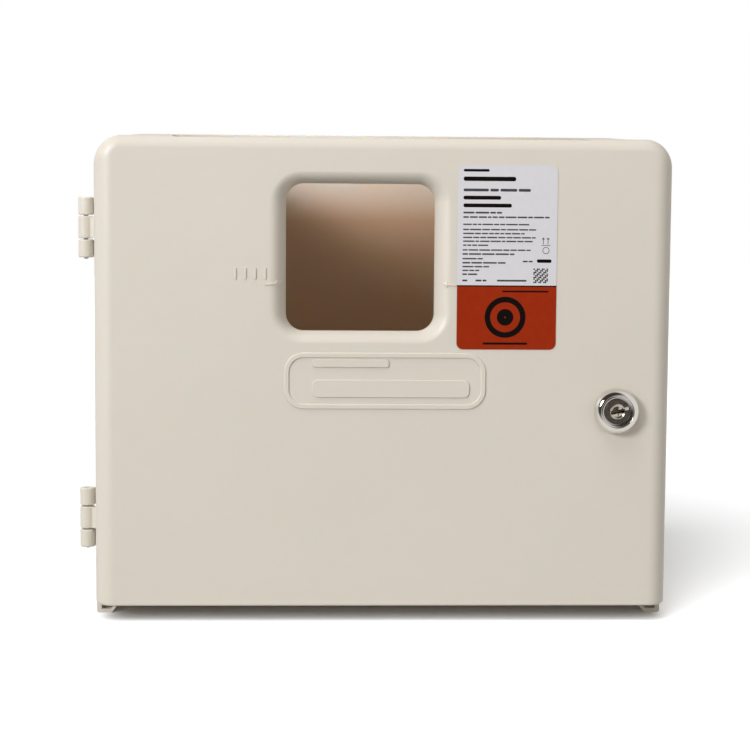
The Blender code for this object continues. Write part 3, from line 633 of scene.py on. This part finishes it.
def housing_ring(y):
    """The housing's outline at a depth."""
    outline = rounded_rectangle(MID_X - HALF_WIDTH, MID_X + HALF_WIDTH, 0.0, top_height(y),
                                FOOT_RADIUS, CORNER_RADIUS)
    return at_depth(outline, y)


def room_ring(y):
    """The inside of the housing at a depth."""
    outline = rounded_rectangle(MID_X + WALL - HALF_WIDTH, MID_X + HALF_WIDTH - WALL, DOOR_BOTTOM + WALL,
                                top_height(y) - WALL, BOTTOM_CORNER, CORNER_RADIUS - WALL)
    return at_depth(outline, y)


def runner_outline():
    """The space under the shelf, between and inside the two runner feet."""
    inner = HALF_WIDTH - WALL
    toe = HALF_WIDTH - FOOT_FLANGE
    right = [
        (toe, -OVERLAP),
        (toe, 0.0),
        (toe - FOOT_LIP_LEAN, FOOT_LIP_HEIGHT),
        (toe - FOOT_LIP_LEAN + FOOT_LIP_THICKNESS, FOOT_LIP_HEIGHT),
        (toe + FOOT_LIP_THICKNESS / 2, FOOT_THICKNESS),
        (inner, FOOT_THICKNESS),
        (inner, DOOR_BOTTOM),
    ]
    return [(MID_X + x, z) for x, z in right] + [(MID_X - x, z) for x, z in reversed(right)]


def keyhole(side):
    """A screw keyhole: the head goes in at the bottom and the shank hangs at the top."""
    x = MID_X + side * FIXING_HALF_SPACING
    half_angle = math.degrees(math.asin(KEYHOLE_SLOT / KEYHOLE_ROUND))
    outline = arc(x, KEYHOLE_Z, KEYHOLE_ROUND, 90 + half_angle, 450 - half_angle, 40)
    outline += arc(x, KEYHOLE_Z + KEYHOLE_RISE, KEYHOLE_SLOT, 0, 180, 20)
    return outline


def make_housing():
    housing = loft("housing", [housing_ring(HOUSING_FRONT), housing_ring(BACK)])
    inside_back = BACK - WALL
    front = HOUSING_FRONT - OVERLAP
    cut(housing, loft("room", [room_ring(front), room_ring(inside_back)]))
    cut(housing, prism_y("under_shelf", runner_outline(), front, inside_back))
    opening = opening_outline(front, inside_back, OVERLAP)
    cut(housing, prism_z("top_opening", opening, FRONT_HEIGHT - CORNER_RADIUS, REAR_HEIGHT + OVERLAP))
    for side in (-1, 1):
        hole = circle(MID_X + side * FIXING_HALF_SPACING, LOWER_FIXING_Z, LOWER_FIXING_RADIUS, 48)
        cut(housing, prism_y("lower_fixing", hole, inside_back - OVERLAP, BACK + OVERLAP))
        cut(housing, prism_y("keyhole", keyhole(side), inside_back - OVERLAP, BACK + OVERLAP))
    strike = rounded_rectangle(MID_X + STRIKE_LEFT, MID_X + HALF_WIDTH - WALL / 2,
                               LOCK.z - STRIKE_HALF_HEIGHT, LOCK.z + STRIKE_HALF_HEIGHT,
                               2 * OVERLAP, 2 * OVERLAP, 6)
    join(housing, prism_y("strike", strike, HOUSING_FRONT, HOUSING_FRONT + STRIKE_THICKNESS))
    round_edges(housing)
    for middle in HINGE_MIDDLES:
        start = middle - MIDDLE_KNUCKLE / 2 - KNUCKLE_GAP - OUTER_KNUCKLE
        for bottom in (start, middle + MIDDLE_KNUCKLE / 2 + KNUCKLE_GAP):
            outer = knuckle("outer_knuckle", bottom, OUTER_KNUCKLE)
            leaf_front = HOUSING_FRONT + LEAF_SETBACK
            leaf_back, leaf_right = HINGE.y + KNUCKLE_RADIUS, MID_X - HALF_WIDTH + WALL / 2
            leaf = [(HINGE.x, leaf_front), (leaf_right, leaf_front),
                    (leaf_right, leaf_back), (HINGE.x, leaf_back)]
            edge = KNUCKLE_EDGE / 2
            join(outer, prism_z("outer_leaf", leaf, bottom + edge, bottom + OUTER_KNUCKLE - edge))
            join(housing, outer)
            cut(housing, turned_hinge("bore", [(KNUCKLE_BORE, bottom - OVERLAP),
                                               (KNUCKLE_BORE, bottom + OUTER_KNUCKLE + OVERLAP)]))
    return housing


def make_pin(node):
    """A hinge pin with a rounded tip."""
    low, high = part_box(node)
    radius = (high.x - low.x) / 2
    tip = [(radius * math.sin(a), low.z + radius * 0.6 * (1 - math.cos(a)))
           for a in swept(8, 1)]
    chamfer = radius * 0.2
    return turned_hinge(node + "_turned", tip + [(radius, high.z - chamfer), (radius - chamfer, high.z)])


# ---- label

INK_DEPTH = 0.02 * MM
LABEL_CORNER = 3.3 * MM
RED_PANEL_DOWN = 61.25                           # millimetres below the label's top


def label_point(left, down):
    """A place on the label, in millimetres from its upper left corner."""
    return LABEL_LOW.x + left * MM, LABEL_HIGH.z - down * MM


def add_shape(bm, outline, front, back):
    """Add an extruded outline to a mesh as a body of its own."""
    rings = [[bm.verts.new((x, y, z)) for x, z in outline] for y in (front, back)]
    bm.faces.new(rings[0])
    bm.faces.new(rings[1])
    for i in range(len(outline)):
        j = (i + 1) % len(outline)
        bm.faces.new((rings[0][i], rings[0][j], rings[1][j], rings[1][i]))


def shapes_object(name, outlines, front, back):
    """Many extruded outlines as one piece."""
    bm = bmesh.new()
    for outline in outlines:
        add_shape(bm, outline, front, back)
    return mesh_object(name, bm)


def ink_bar(left, down, width, height):
    """A printed bar with round ends."""
    x, z = label_point(left, down)
    radius = min(width, height) * MM * 0.42
    return rounded_rectangle(x, x + width * MM, z - height * MM, z, radius, radius, 4)


def word_bars(dice, left, down, width, height, word):
    """A line of printing, stood for by plain bars of uneven length."""
    bars = []
    at = left
    while at < left + width - word * 0.4:
        length = min(word * dice.uniform(0.45, 1.5), left + width - at)
        bars.append(ink_bar(at, down, length, height))
        at += length + height * 0.55
    return bars


def label_layout():
    """Heading bars and small bars, laid out down the white panel."""
    dice = random.Random(5)
    bold, fine = [], []
    for left, down, width, height, word in (
            (2.8, 2.2, 13.0, 1.3, 13.0),
            (2.8, 6.0, 26.5, 2.2, 26.5),
            (2.8, 15.6, 19.0, 1.9, 19.0),
            (2.8, 19.5, 32.0, 1.9, 17.0),
            (40.4, 47.4, 7.4, 1.7, 7.4)):
        bold += word_bars(dice, left, down, width, height, word)
    for left, down, width, height, word in (
            (2.8, 12.0, 34.0, 1.4, 9.0), (2.8, 23.6, 19.6, 0.9, 5.0), (2.8, 25.9, 44.6, 0.8, 4.0),
            (2.8, 29.6, 34.0, 0.7, 4.0), (2.8, 32.2, 37.0, 0.7, 4.0), (2.8, 34.2, 31.5, 0.7, 4.0),
            (2.8, 36.2, 37.5, 0.7, 4.0), (2.8, 38.1, 37.0, 0.7, 4.0), (2.8, 40.1, 12.8, 0.7, 4.0),
            (2.6, 42.5, 34.6, 0.7, 4.0), (2.6, 44.5, 27.8, 0.8, 5.0), (2.6, 46.9, 10.8, 0.7, 5.0),
            (2.6, 48.9, 23.9, 0.8, 5.0), (2.6, 50.9, 15.0, 0.7, 4.0), (2.6, 52.8, 10.4, 0.7, 4.0),
            (2.6, 54.7, 9.4, 0.8, 4.0), (2.6, 57.8, 2.6, 0.9, 3.0), (9.3, 57.8, 5.6, 0.9, 5.0),
            (20.2, 57.8, 15.0, 0.9, 15.0), (33.2, 48.1, 5.0, 0.8, 2.5)):
        fine += word_bars(dice, left, down, width, height, word)
    return bold, fine


def hatched_square(left, down, side, cells):
    """A square of plain diagonal cells, where a code would be printed."""
    size = side / cells
    outlines = []
    for row in range(cells):
        for column in range(cells):
            if (row + column) % 3 != 1:
                x, z = label_point(left + column * size, down + row * size)
                outlines.append([(x, z - size * MM * 0.86), (x + size * MM * 0.86, z - size * MM * 0.86),
                                 (x + size * MM * 0.86, z), (x, z)])
    return outlines


def ring_segments(centre_left, centre_down, inner, outer, pieces=36):
    """A printed ring, as touching wedges."""
    x, z = label_point(centre_left, centre_down)
    outlines = []
    for i in range(pieces):
        start, end = 360 * i / pieces, 360 * (i + 1) / pieces
        outlines.append(arc(x, z, outer * MM, start, end, 3) + arc(x, z, inner * MM, end, start, 3))
    return outlines


def make_label():
    """The sheet, its red panel and its printing."""
    front, back = LABEL_LOW.y, LABEL_HIGH.y
    radius = LABEL_CORNER
    sheet = rounded_rectangle(LABEL_LOW.x, LABEL_HIGH.x, LABEL_LOW.z, LABEL_HIGH.z, radius, radius)
    white = printed("label_white", (0.68, 0.66, 0.68), (0.66, 0.64, 0.66))
    red = printed("label_red", (0.320, 0.026, 0.004), (0.295, 0.022, 0.003))
    black = printed("label_black", (0.004, 0.002, 0.001), (0.002, 0.001, 0.001), 0.46, 0.56)
    grey = printed("label_grey", (0.075, 0.073, 0.080), (0.050, 0.050, 0.055))
    base = prism_y("label_sheet", sheet, front + INK_DEPTH, back)
    finish_piece(base, "door", white, ("front_label",))

    left, top = label_point(0.0, RED_PANEL_DOWN)
    steps = CORNER_STEPS
    panel = arc(LABEL_HIGH.x - radius, LABEL_LOW.z + radius, radius, -90, 0, steps)
    panel += [(LABEL_HIGH.x, top), (left, top)]
    panel += arc(left + radius, LABEL_LOW.z + radius, radius, 180, 270, steps)
    finish_piece(prism_y("label_red_panel", panel, front + INK_DEPTH / 2, back - INK_DEPTH),
                 "door", red)

    bold, fine = label_layout()
    x, z = label_point(0.0, 60.65)
    bold.append([(x, z - 0.6 * MM), (LABEL_HIGH.x, z - 0.6 * MM), (LABEL_HIGH.x, z), (x, z)])
    bold += hatched_square(38.7, 52.0, 7.5, 9)
    bold += ring_segments(24.6, 76.8, 7.6, 10.4)
    bold += ring_segments(24.6, 76.8, 0.4, 4.2)
    bold += [ink_bar(13.4, 89.6, 22.6, 1.1), ink_bar(22.9, 63.3, 23.6, 0.8)]
    fine += ring_segments(44.9, 42.9, 1.45, 1.75, 24)
    fine += [ink_bar(42.6, 40.2, 4.6, 0.28)]
    for left in (43.5, 45.9):
        x, z = label_point(left, 36.4)
        fine.append([(x - 0.9 * MM, z - 0.9 * MM), (x + 0.9 * MM, z - 0.9 * MM), (x, z)])
        fine.append(ink_bar(left - 0.16, 37.1, 0.32, 2.7))
    for name, shapes, ink in (("label_bold_print", bold, black), ("label_fine_print", fine, grey)):
        finish_piece(shapes_object(name, shapes, front, back - 2 * INK_DEPTH), "door", ink)


# ---- lock

KEYWAY_TILT = math.radians(10)
BOSS_RADIUS = 3.9 * MM
PLUG_BODY = 6.3 * MM


def tilt(piece):
    """Turn a piece to the keyway's angle."""
    centre = Matrix.Translation((LOCK.x, 0.0, LOCK.z))
    piece.data.transform(centre @ Matrix.Rotation(-KEYWAY_TILT, 4, "Y") @ centre.inverted())
    return piece


def lock_prism(name, outline, front, back):
    """A prism whose (u, v) outline is measured from the lock's axis, along and across the keyway."""
    return tilt(prism_y(name, about_lock(outline), front, back))


def rectangle(half_u, half_v, u=0.0, v=0.0):
    corners = ((-1, -1), (1, -1), (1, 1), (-1, 1))
    return [(u + across * half_u, v + up * half_v) for across, up in corners]


def make_lock_housing():
    """The domed head and the threaded, flatted barrel."""
    outer = (HEAD_HIGH.x - HEAD_LOW.x) / 2
    head_front, head_back, end = HEAD_LOW.y, FRONT - GAP, HEAD_HIGH.y
    rim = 0.9 * MM
    crest = 8.4 * MM
    mouth = 8.1 * MM
    bore = PLUG_BODY + GAP
    dome = [(outer - 0.6 * MM, head_back), (outer, head_back - 0.6 * MM)]
    swell = head_back - rim - head_front
    dome += [(crest + (outer - crest) * math.cos(a), head_back - rim - swell * math.sin(a))
             for a in swept(18)]
    dome += [(crest - (crest - mouth) * math.sin(a), head_front + 1.5 * MM * (1 - math.cos(a)))
             for a in swept(8, 1)]
    lip = FRONT - 5.3 * MM
    throat = [(mouth, head_front + 2.6 * MM), (7.6 * MM, head_front + 2.6 * MM), (7.6 * MM, lip + 0.2 * MM),
              (7.45 * MM, lip), (7.1 * MM, lip + 0.08 * MM), (6.85 * MM, lip + 0.5 * MM),
              (6.85 * MM, FRONT - 4.0 * MM), (bore, FRONT - 4.0 * MM), (bore, end)]
    pitch, depth = 1.0 * MM, 0.35 * MM
    turns = int((end - head_back - 2 * MM) / pitch)
    thread = []
    for i in range(turns):
        at = end - 0.6 * MM - i * pitch
        thread += [(BARREL_RADIUS - depth, at), (BARREL_RADIUS, at - pitch * 0.4),
                   (BARREL_RADIUS, at - pitch * 0.6)]
    profile = dome + throat + [(BARREL_RADIUS - depth, end)] + thread + [(BARREL_RADIUS, head_back)]
    body = turned_lock("lock_body", profile, hollow=True)
    for side in (-1, 1):
        low, high = sorted((side * BARREL_FLAT, side * 2 * BARREL_RADIUS))
        flat = about_lock([(-outer, low), (outer, low), (outer, high), (-outer, high)])
        cut(body, prism_y("flat", flat, FRONT - GAP / 2, end + OVERLAP))
    tab = math.radians(18)
    start, finish_angle = math.degrees(-math.pi / 2 - tab), math.degrees(tab)
    notch = arc(0.0, 0.0, 10.0 * MM, start, finish_angle, 24)
    notch += arc(0.0, 0.0, 7.0 * MM, finish_angle, start, 24)
    cut(body, prism_y("stop_notch", about_lock(notch), end - 1.9 * MM, end + OVERLAP))
    return body


def make_plug():
    """The plug: a dished bright boss, the keyway, a lug beside it, and the square tail."""
    front, end = PLUG_LOW.y, HEAD_HIGH.y
    shoulder = DISC_HIGH.y + GAP
    plug = turned_lock("plug_core", [
        (0.3 * MM, front + 0.05 * MM), (2.85 * MM, front + 0.95 * MM), (3.1 * MM, front + 0.9 * MM),
        (3.25 * MM, front + 0.1 * MM), (3.4 * MM, front), (3.65 * MM, front + 0.03 * MM),
        (BOSS_RADIUS, front + 0.3 * MM),
        (BOSS_RADIUS, shoulder), (PLUG_BODY - 0.2 * MM, shoulder), (PLUG_BODY, shoulder + 0.2 * MM),
        (PLUG_BODY, end), (3.4 * MM, end), (3.4 * MM, end + GAP)])
    tail = prism_y("tail", about_lock(rectangle(3.5 * MM, 3.5 * MM)), end - OVERLAP, PLUG_HIGH.y)
    round_edges(tail, 0.3 * MM)
    join(plug, tail)
    lug = lock_prism("lug", rectangle(1.7 * MM, 1.0 * MM, 4.2 * MM, 0.95 * MM),
                     front + 0.35 * MM, shoulder + 0.5 * MM)
    round_edges(lug, 0.3 * MM)
    join(plug, lug)
    cut(plug, lock_prism("keyway", rectangle(3.6 * MM, 1.0 * MM), front - OVERLAP, front + 28 * MM))
    wedge = [(-0.9 * MM, -0.5 * MM), (-0.15 * MM, -3.2 * MM), (0.6 * MM, -0.5 * MM)]
    cut(plug, lock_prism("keyway_groove", wedge, front - OVERLAP, front + 2.2 * MM))
    hole = [(2.2 * MM, PLUG_HIGH.y - 9.3 * MM), (2.2 * MM, PLUG_HIGH.y + OVERLAP)]
    cut(plug, turned_lock("screw_hole", hole, sides=48))
    return plug


def make_face_disc():
    """The dark disc round the boss, open where the plug's lug comes through."""
    front, back = DISC_LOW.y, DISC_HIGH.y
    inner, outer = BOSS_RADIUS + GAP / 2, (DISC_HIGH.x - DISC_LOW.x) / 2
    disc = turned_lock("face_disc", [
        (inner, front + 0.12 * MM), (inner + 0.12 * MM, front), (outer - 0.35 * MM, front),
        (outer, front + 0.3 * MM), (outer, back), (inner, back)], hollow=True)
    cut(disc, lock_prism("lug_gap", rectangle(1.85 * MM, 1.15 * MM, 4.2 * MM, 0.95 * MM),
                         front - OVERLAP, back + OVERLAP))
    round_edges(disc, 0.08 * MM)
    return disc


def round_hole(piece, radius, front, back):
    cut(piece, turned_lock("hole", [(radius, front - OVERLAP), (radius, back + OVERLAP)]))


def make_ring(name, low, high, hole_radius):
    """A washer about the lock's axis, with softened edges."""
    piece = prism_y(name, circle(LOCK.x, LOCK.z, (high.x - low.x) / 2), low.y, high.y)
    round_hole(piece, hole_radius, low.y, high.y)
    round_edges(piece, 0.15 * MM)
    return piece


def make_nut():
    """A hexagon nut whose corners are turned down to a cone."""
    across = NUT_HIGH.z - NUT_LOW.z
    corner = across / math.sqrt(3)
    hexagon = about_lock([(corner * math.cos(a), corner * math.sin(a)) for a in swept(6, turn=math.tau)[:6]])
    nut = prism_y("nut", hexagon, NUT_LOW.y, NUT_HIGH.y)
    wide = corner + 0.4 * MM
    cone = turned_lock("cone", [(across / 2, NUT_LOW.y - 0.01 * MM), (wide, NUT_LOW.y + 1.1 * MM),
                                (wide, NUT_HIGH.y - 1.1 * MM), (across / 2, NUT_HIGH.y + 0.01 * MM)])
    combine(nut, cone, "INTERSECT")
    round_hole(nut, BARREL_RADIUS + GAP, NUT_LOW.y, NUT_HIGH.y)
    round_edges(nut, 0.12 * MM)
    return nut


def square_hole(piece, front, back):
    outline = about_lock(rectangle(3.8 * MM, 3.8 * MM))
    cut(piece, prism_y("square_hole", outline, front - OVERLAP, back + OVERLAP))


def make_stop_washer():
    """The washer on the square tail, with the tab that runs in the barrel's notch."""
    radius = (STOP_HIGH.x - STOP_LOW.x) / 2
    plate_front = HEAD_HIGH.y + GAP
    washer = prism_y("stop_plate", circle(LOCK.x, LOCK.z, radius), plate_front, STOP_HIGH.y)
    tab = arc(0.0, 0.0, radius - 0.1 * MM, -14, 14, 8) + arc(0.0, 0.0, 7.3 * MM, 14, -14, 8)
    join(washer, prism_y("tab", about_lock(tab), STOP_LOW.y, plate_front + 0.5 * MM))
    square_hole(washer, plate_front, STOP_HIGH.y)
    round_edges(washer, 0.12 * MM)
    return washer


def make_cam():
    """The cam, stamped from plate, with a rounded tip."""
    radius, half, reach = (CAM_HIGH.x - CAM_LOW.x) / 2, 5.0 * MM, CAM_HIGH.z - LOCK.z
    tip = 2.0 * MM
    outline = arc(0.0, 0.0, radius, 180, 360, 48)
    outline += arc(half - tip, reach - tip, tip, 0, 90, 10) + arc(tip - half, reach - tip, tip, 90, 180, 10)
    cam = prism_y("cam", about_lock(outline), CAM_LOW.y, CAM_HIGH.y)
    square_hole(cam, CAM_LOW.y, CAM_HIGH.y)
    round_edges(cam, 0.2 * MM)
    return cam


def make_screw():
    """The cam screw: a domed head with a cross recess, and a threaded shank."""
    head = CAM_WASHER_HIGH.y + GAP
    radius = (SCREW_HIGH.x - SCREW_LOW.x) / 2
    shank, pitch = 1.85 * MM, 0.7 * MM
    profile = [(shank * 0.6, SCREW_LOW.y), (shank * 0.86, SCREW_LOW.y + 0.5 * MM)]
    at = SCREW_LOW.y + 0.8 * MM
    while at + pitch < head:
        profile += [(shank, at), (shank - 0.28 * MM, at + pitch / 2)]
        at += pitch
    profile += [(shank, head), (radius - 0.15 * MM, head), (radius, head + 0.15 * MM)]
    height = SCREW_HIGH.y - head
    profile += [(radius * math.cos(a), head + height * (0.45 + 0.55 * math.sin(a)))
                for a in swept(10, turn=math.radians(80))]
    profile.append((radius * 0.1, SCREW_HIGH.y))
    screw = turned_lock("screw", profile, sides=64)
    for half_u, half_v in ((2.6 * MM, 0.5 * MM), (0.5 * MM, 2.6 * MM)):
        cross = about_lock(rectangle(half_u, half_v))
        cut(screw, prism_y("cross", cross, head + height * 0.35, SCREW_HIGH.y + OVERLAP))
    return screw


def make_lock():
    """The lock's pieces, the metal of the wafers and springs, and the hinge pins."""
    chrome = metal("chrome", (0.83, 0.81, 0.78), (0.77, 0.75, 0.72), 0.045, 0.10)
    nickel = metal("nickel", (0.74, 0.71, 0.66), (0.60, 0.57, 0.52), 0.14, 0.26, 300.0, 0.06)
    zinc = metal("zinc", (0.60, 0.61, 0.62), (0.48, 0.49, 0.50), 0.28, 0.42, 250.0, 0.10)
    brass = metal("brass", (0.72, 0.56, 0.28), (0.60, 0.45, 0.20), 0.25, 0.38, 300.0, 0.08)
    wire = metal("wire", (0.52, 0.52, 0.54), (0.40, 0.40, 0.42), 0.22, 0.34, 300.0, 0.05)
    finish_piece(make_lock_housing(), "door", chrome, ("lock_housing",), math.radians(30))
    finish_piece(make_plug(), "lock_core", nickel, ("lock_plug",), math.radians(30))
    finish_piece(make_face_disc(), "lock_core", dark_disc_material(), ("lock_face_disc",))
    finish_piece(make_nut(), "door", zinc, ("lock_nut",), math.radians(25))
    for piece, body, node in (
            (make_ring("nut_washer", LOCK_WASHER_LOW, LOCK_WASHER_HIGH, BARREL_RADIUS + GAP),
             "door", "lock_washer"),
            (make_stop_washer(), "lock_core", "stop_washer"),
            (make_cam(), "lock_core", "lock_cam"),
            (make_ring("screw_washer", CAM_WASHER_LOW, CAM_WASHER_HIGH, 2.15 * MM),
             "lock_core", "cam_washer"),
            (make_screw(), "lock_core", "cam_screw"),
            (make_pin("upper_hinge_pin"), "housing", "upper_hinge_pin"),
            (make_pin("lower_hinge_pin"), "housing", "lower_hinge_pin")):
        finish_piece(piece, body, zinc, (node,))
    for name, node in frame["nodes"].items():
        if name.startswith("wafer"):
            node.data.materials.clear()
            node.data.materials.append(wire if "spring" in name else brass)


def paint_inside_shade(piece, finish):
    """Give the faces that look into the cabinet's room a darker, browner colour of their own: painted shade
    for the dim room.
    """
    low = Vector((MID_X - HALF_WIDTH + WALL / 2, FRONT + WALL / 2, DOOR_BOTTOM + WALL / 2))
    high = Vector((MID_X + HALF_WIDTH - WALL / 2, BACK - WALL / 2, REAR_HEIGHT))
    centre = (low + high) / 2
    piece.data.materials.append(finish)
    for face in piece.data.polygons:
        place = face.center
        inside = all(low[i] < place[i] < high[i] for i in range(3))
        if inside and face.normal.dot(centre - place) > 0:
            face.material_index = 1


# ---- stage

STUDIO_WHITE = (1.0, 1.015, 1.03)
AMBIENT_COLOUR = (1.0, 0.95, 0.90, 1.0)
AMBIENT_STRENGTH = 0.19
MIRRORED_LIGHT = (0.80, 0.77, 0.74)
MIRRORED_DARK = (0.05, 0.045, 0.04)
DARK_SIDE = (-0.50, -0.68, 0.54)
FLOOR_HALF = 6.0
FLOOR_THICKNESS = 0.02
FLOOR_CLEARANCE = 0.05 * MM
FLOOR_BOUNCE = 0.36                              # share of the floor's tone that matt surfaces get back
FLOOR_TONES = ((0.950, 0.915, 0.860), (0.965, 0.930, 0.875))
FLOOR_SUN = 5.9
FLOOR_SUN_COLOUR = (0.93, 0.99, 1.07)
FLOOR_SUN_ANGLE = math.radians(50)
FLOOR_SUN_WAY = (0.36, 1.30, -1.0)
CAMERA_TURN = (2.231, 4.818, 0.411)              # yaw, pitch and roll in degrees
CAMERA_PLACE = (MID_X - 39.86 * MM, FRONT - 908.6 * MM, 204.82 * MM)
CAMERA_LENS = 86.4
TOWARD_KEY = (-0.68, -0.64, 0.36)
KEY_DISTANCE = 2.6
KEY_SIZE, KEY_POWER = 0.80, 48.5
ABOVE = (-0.25, -0.45, 1.45)
ABOVE_SIZE, ABOVE_POWER = 0.9, 11.0
BESIDE = (1.6, -1.3, 0.2)
BESIDE_SIZE, BESIDE_POWER, BESIDE_COLOUR = 1.2, 9.0, (1.0, 0.96, 0.92)
DEEP_PLACE = (MID_X - 213 * MM, FRONT - 118 * MM, 297 * MM)
DEEP_TARGET = (MID_X - 5 * MM, BACK - WALL, 212 * MM)
DEEP_SIZE, DEEP_POWER, DEEP_COLOUR = 0.027, 0.030, (0.88, 1.0, 1.18)
DEEP_SPREAD = math.radians(40)


def hang_light(name, kind, way, power, colour, place=(0.0, 0.0, 0.0)):
    """A light at a place that shines along a direction."""
    data = bpy.data.lights.new(name, kind)
    data.energy = power
    data.color = colour
    lamp = bpy.data.objects.new(name, data)
    lamp.location = place
    lamp.rotation_euler = Vector(way).to_track_quat("-Z", "Y").to_euler()
    bpy.context.scene.collection.objects.link(lamp)
    return lamp


def emitter(name, place, target, size, power, colour):
    """A square soft light at a place, turned to its target."""
    lamp = hang_light(name, "AREA", Vector(target) - Vector(place), power, colour, place)
    lamp.data.shape = "RECTANGLE"
    lamp.data.size = lamp.data.size_y = size
    return lamp


def receivers(name, piece, state="INCLUDE"):
    """A light-linking collection that keeps a light to one piece, or off it."""
    made = bpy.data.collections.new(name)
    made.objects.link(piece)
    made.collection_objects[0].light_linking.link_state = state
    return made


def mixed(tree, share, first, second):
    """Two shaders mixed by a share."""
    made = tree.nodes.new("ShaderNodeMixShader")
    for source, socket in zip((share, first, second), made.inputs):
        tree.links.new(source, socket)
    return made.outputs["Shader"]


def make_world():
    """Dim and even for everything matt, white behind the cabinet; mirrors see a studio with a dark part."""
    world = bpy.data.worlds.new("studio")
    bpy.context.scene.world = world
    world.use_nodes = True
    tree = world.node_tree
    even = tree.nodes["Background"]
    set_inputs(tree, even, Color=AMBIENT_COLOUR, Strength=AMBIENT_STRENGTH)
    toward = tree.nodes.new("ShaderNodeVectorMath")
    toward.operation = "DOT_PRODUCT"
    toward.inputs[1].default_value = Vector(DARK_SIDE).normalized()
    tree.links.new(add_node(tree, "TexCoord").outputs["Generated"], toward.inputs[0])
    tone = blended(tree, toward.outputs["Value"], 0.50, 0.72, (MIRRORED_LIGHT, MIRRORED_DARK))
    studio = add_node(tree, "Background", Color=tone)
    behind = add_node(tree, "Background", Color=(1.0, 1.0, 1.0, 1.0))
    path = add_node(tree, "LightPath").outputs
    lit = mixed(tree, path["Is Glossy Ray"], even.outputs["Background"], studio.outputs["Background"])
    seen = mixed(tree, path["Is Camera Ray"], lit, behind.outputs["Background"])
    tree.links.new(seen, tree.nodes["World Output"].inputs["Surface"])


def make_floor():
    """A wide pale floor just under the feet, which hands little light back to matt surfaces."""
    outline = rectangle(FLOOR_HALF, FLOOR_THICKNESS / 2, 0.0, FLOOR_THICKNESS / 2)
    floor = shapes_object("floor", [outline], -FLOOR_HALF, FLOOR_HALF)
    floor.location.z = -FLOOR_THICKNESS - FLOOR_CLEARANCE
    made, tree, shader = shader_material("floor")
    matt = add_node(tree, "LightPath").outputs["Is Diffuse Ray"]
    dim = add_node(tree, "MapRange", To_Min=1.0, To_Max=FLOOR_BOUNCE, Value=matt).outputs["Result"]
    scaled = tree.nodes.new("ShaderNodeVectorMath")
    scaled.operation = "SCALE"
    tone = blended(tree, noise(tree, 2.0, 2.0, object_coordinates(tree)), 0.3, 0.7, FLOOR_TONES)
    set_inputs(tree, scaled, Vector=tone, Scale=dim)
    set_inputs(tree, shader, Base_Color=scaled.outputs["Vector"], Roughness=0.9, Specular_IOR_Level=0.0)
    floor.data.materials.append(made)
    floor.visible_glossy = False
    return floor


def light_floor(floor):
    """A broad sun from the front left for the floor alone, which lays the shadow back and to the right."""
    lamp = hang_light("floor_light", "SUN", FLOOR_SUN_WAY, FLOOR_SUN, FLOOR_SUN_COLOUR)
    lamp.data.angle = FLOOR_SUN_ANGLE
    lamp.light_linking.receiver_collection = receivers("floor_only", floor)


def make_camera():
    """A long lens from slightly above and to the left, at the height of the upper hinge."""
    yaw, pitch, roll = (math.radians(turn) for turn in CAMERA_TURN)
    forward = Vector((math.sin(yaw) * math.cos(pitch), math.cos(yaw) * math.cos(pitch), -math.sin(pitch)))
    level = Vector((math.cos(yaw), -math.sin(yaw), 0.0))
    raised = level.cross(forward)
    right = math.cos(roll) * level + math.sin(roll) * raised
    up = math.cos(roll) * raised - math.sin(roll) * level
    data = bpy.data.cameras.new("camera")
    data.sensor_width = 36.0
    data.lens = CAMERA_LENS
    data.clip_end = 50.0
    camera = bpy.data.objects.new("camera", data)
    turn = Matrix((right, up, -forward)).transposed().to_4x4()
    camera.matrix_world = Matrix.Translation(CAMERA_PLACE) @ turn
    bpy.context.scene.collection.objects.link(camera)
    bpy.context.scene.camera = camera


def make_stage():
    """The world, the floor, the camera and the lights."""
    make_world()
    floor = make_floor()
    light_floor(floor)
    make_camera()
    middle = Vector((MID_X, FRONT, 0.13))
    key_place = middle + Vector(TOWARD_KEY).normalized() * KEY_DISTANCE
    key = emitter("key", key_place, middle, KEY_SIZE, KEY_POWER, STUDIO_WHITE)
    overhead = emitter("overhead", middle + Vector(ABOVE), middle, ABOVE_SIZE, ABOVE_POWER, STUDIO_WHITE)
    deep = emitter("key_inside", DEEP_PLACE, DEEP_TARGET, DEEP_SIZE, DEEP_POWER, DEEP_COLOUR)
    deep.data.spread = DEEP_SPREAD
    deep.visible_camera = False
    deep.light_linking.receiver_collection = receivers("housing_only", bpy.data.objects["housing"])
    side = emitter("fill", middle + Vector(BESIDE), middle, BESIDE_SIZE, BESIDE_POWER, BESIDE_COLOUR)
    all_but_floor = receivers("all_but_floor", floor, "EXCLUDE")
    for lamp in (key, overhead, side):
        lamp.light_linking.receiver_collection = all_but_floor
    for lamp in (overhead, deep, side):
        lamp.visible_glossy = False
    view = bpy.context.scene.view_settings
    view.view_transform = "Standard"
    view.look = "None"
    view.exposure = 0.0
    view.gamma = 1.0


# ---- assembly

BEIGE = (0.700, 0.650, 0.570)
beige = moulded_plastic("beige_plastic", BEIGE, (0.685, 0.635, 0.555), 0.3, (1.6 * MM, 0.8 * MM, 0.45 * MM))
# The inside's darker brown colour is painted shade for the dim, warmly lit room; the real plastic inside is
# the same beige.
inside = moulded_plastic("beige_inside_painted_shade", (0.450, 0.285, 0.170), (0.435, 0.272, 0.160), 1.0,
                         (1.6 * MM, 0.8 * MM, 0.4 * MM), BEIGE)
paint_inside_shade(finish_piece(make_housing(), "housing", beige, ("rear_housing",)), inside)
finish_piece(make_door(), "door", beige, ("door_shell",))
make_label()
make_lock()
make_stage()
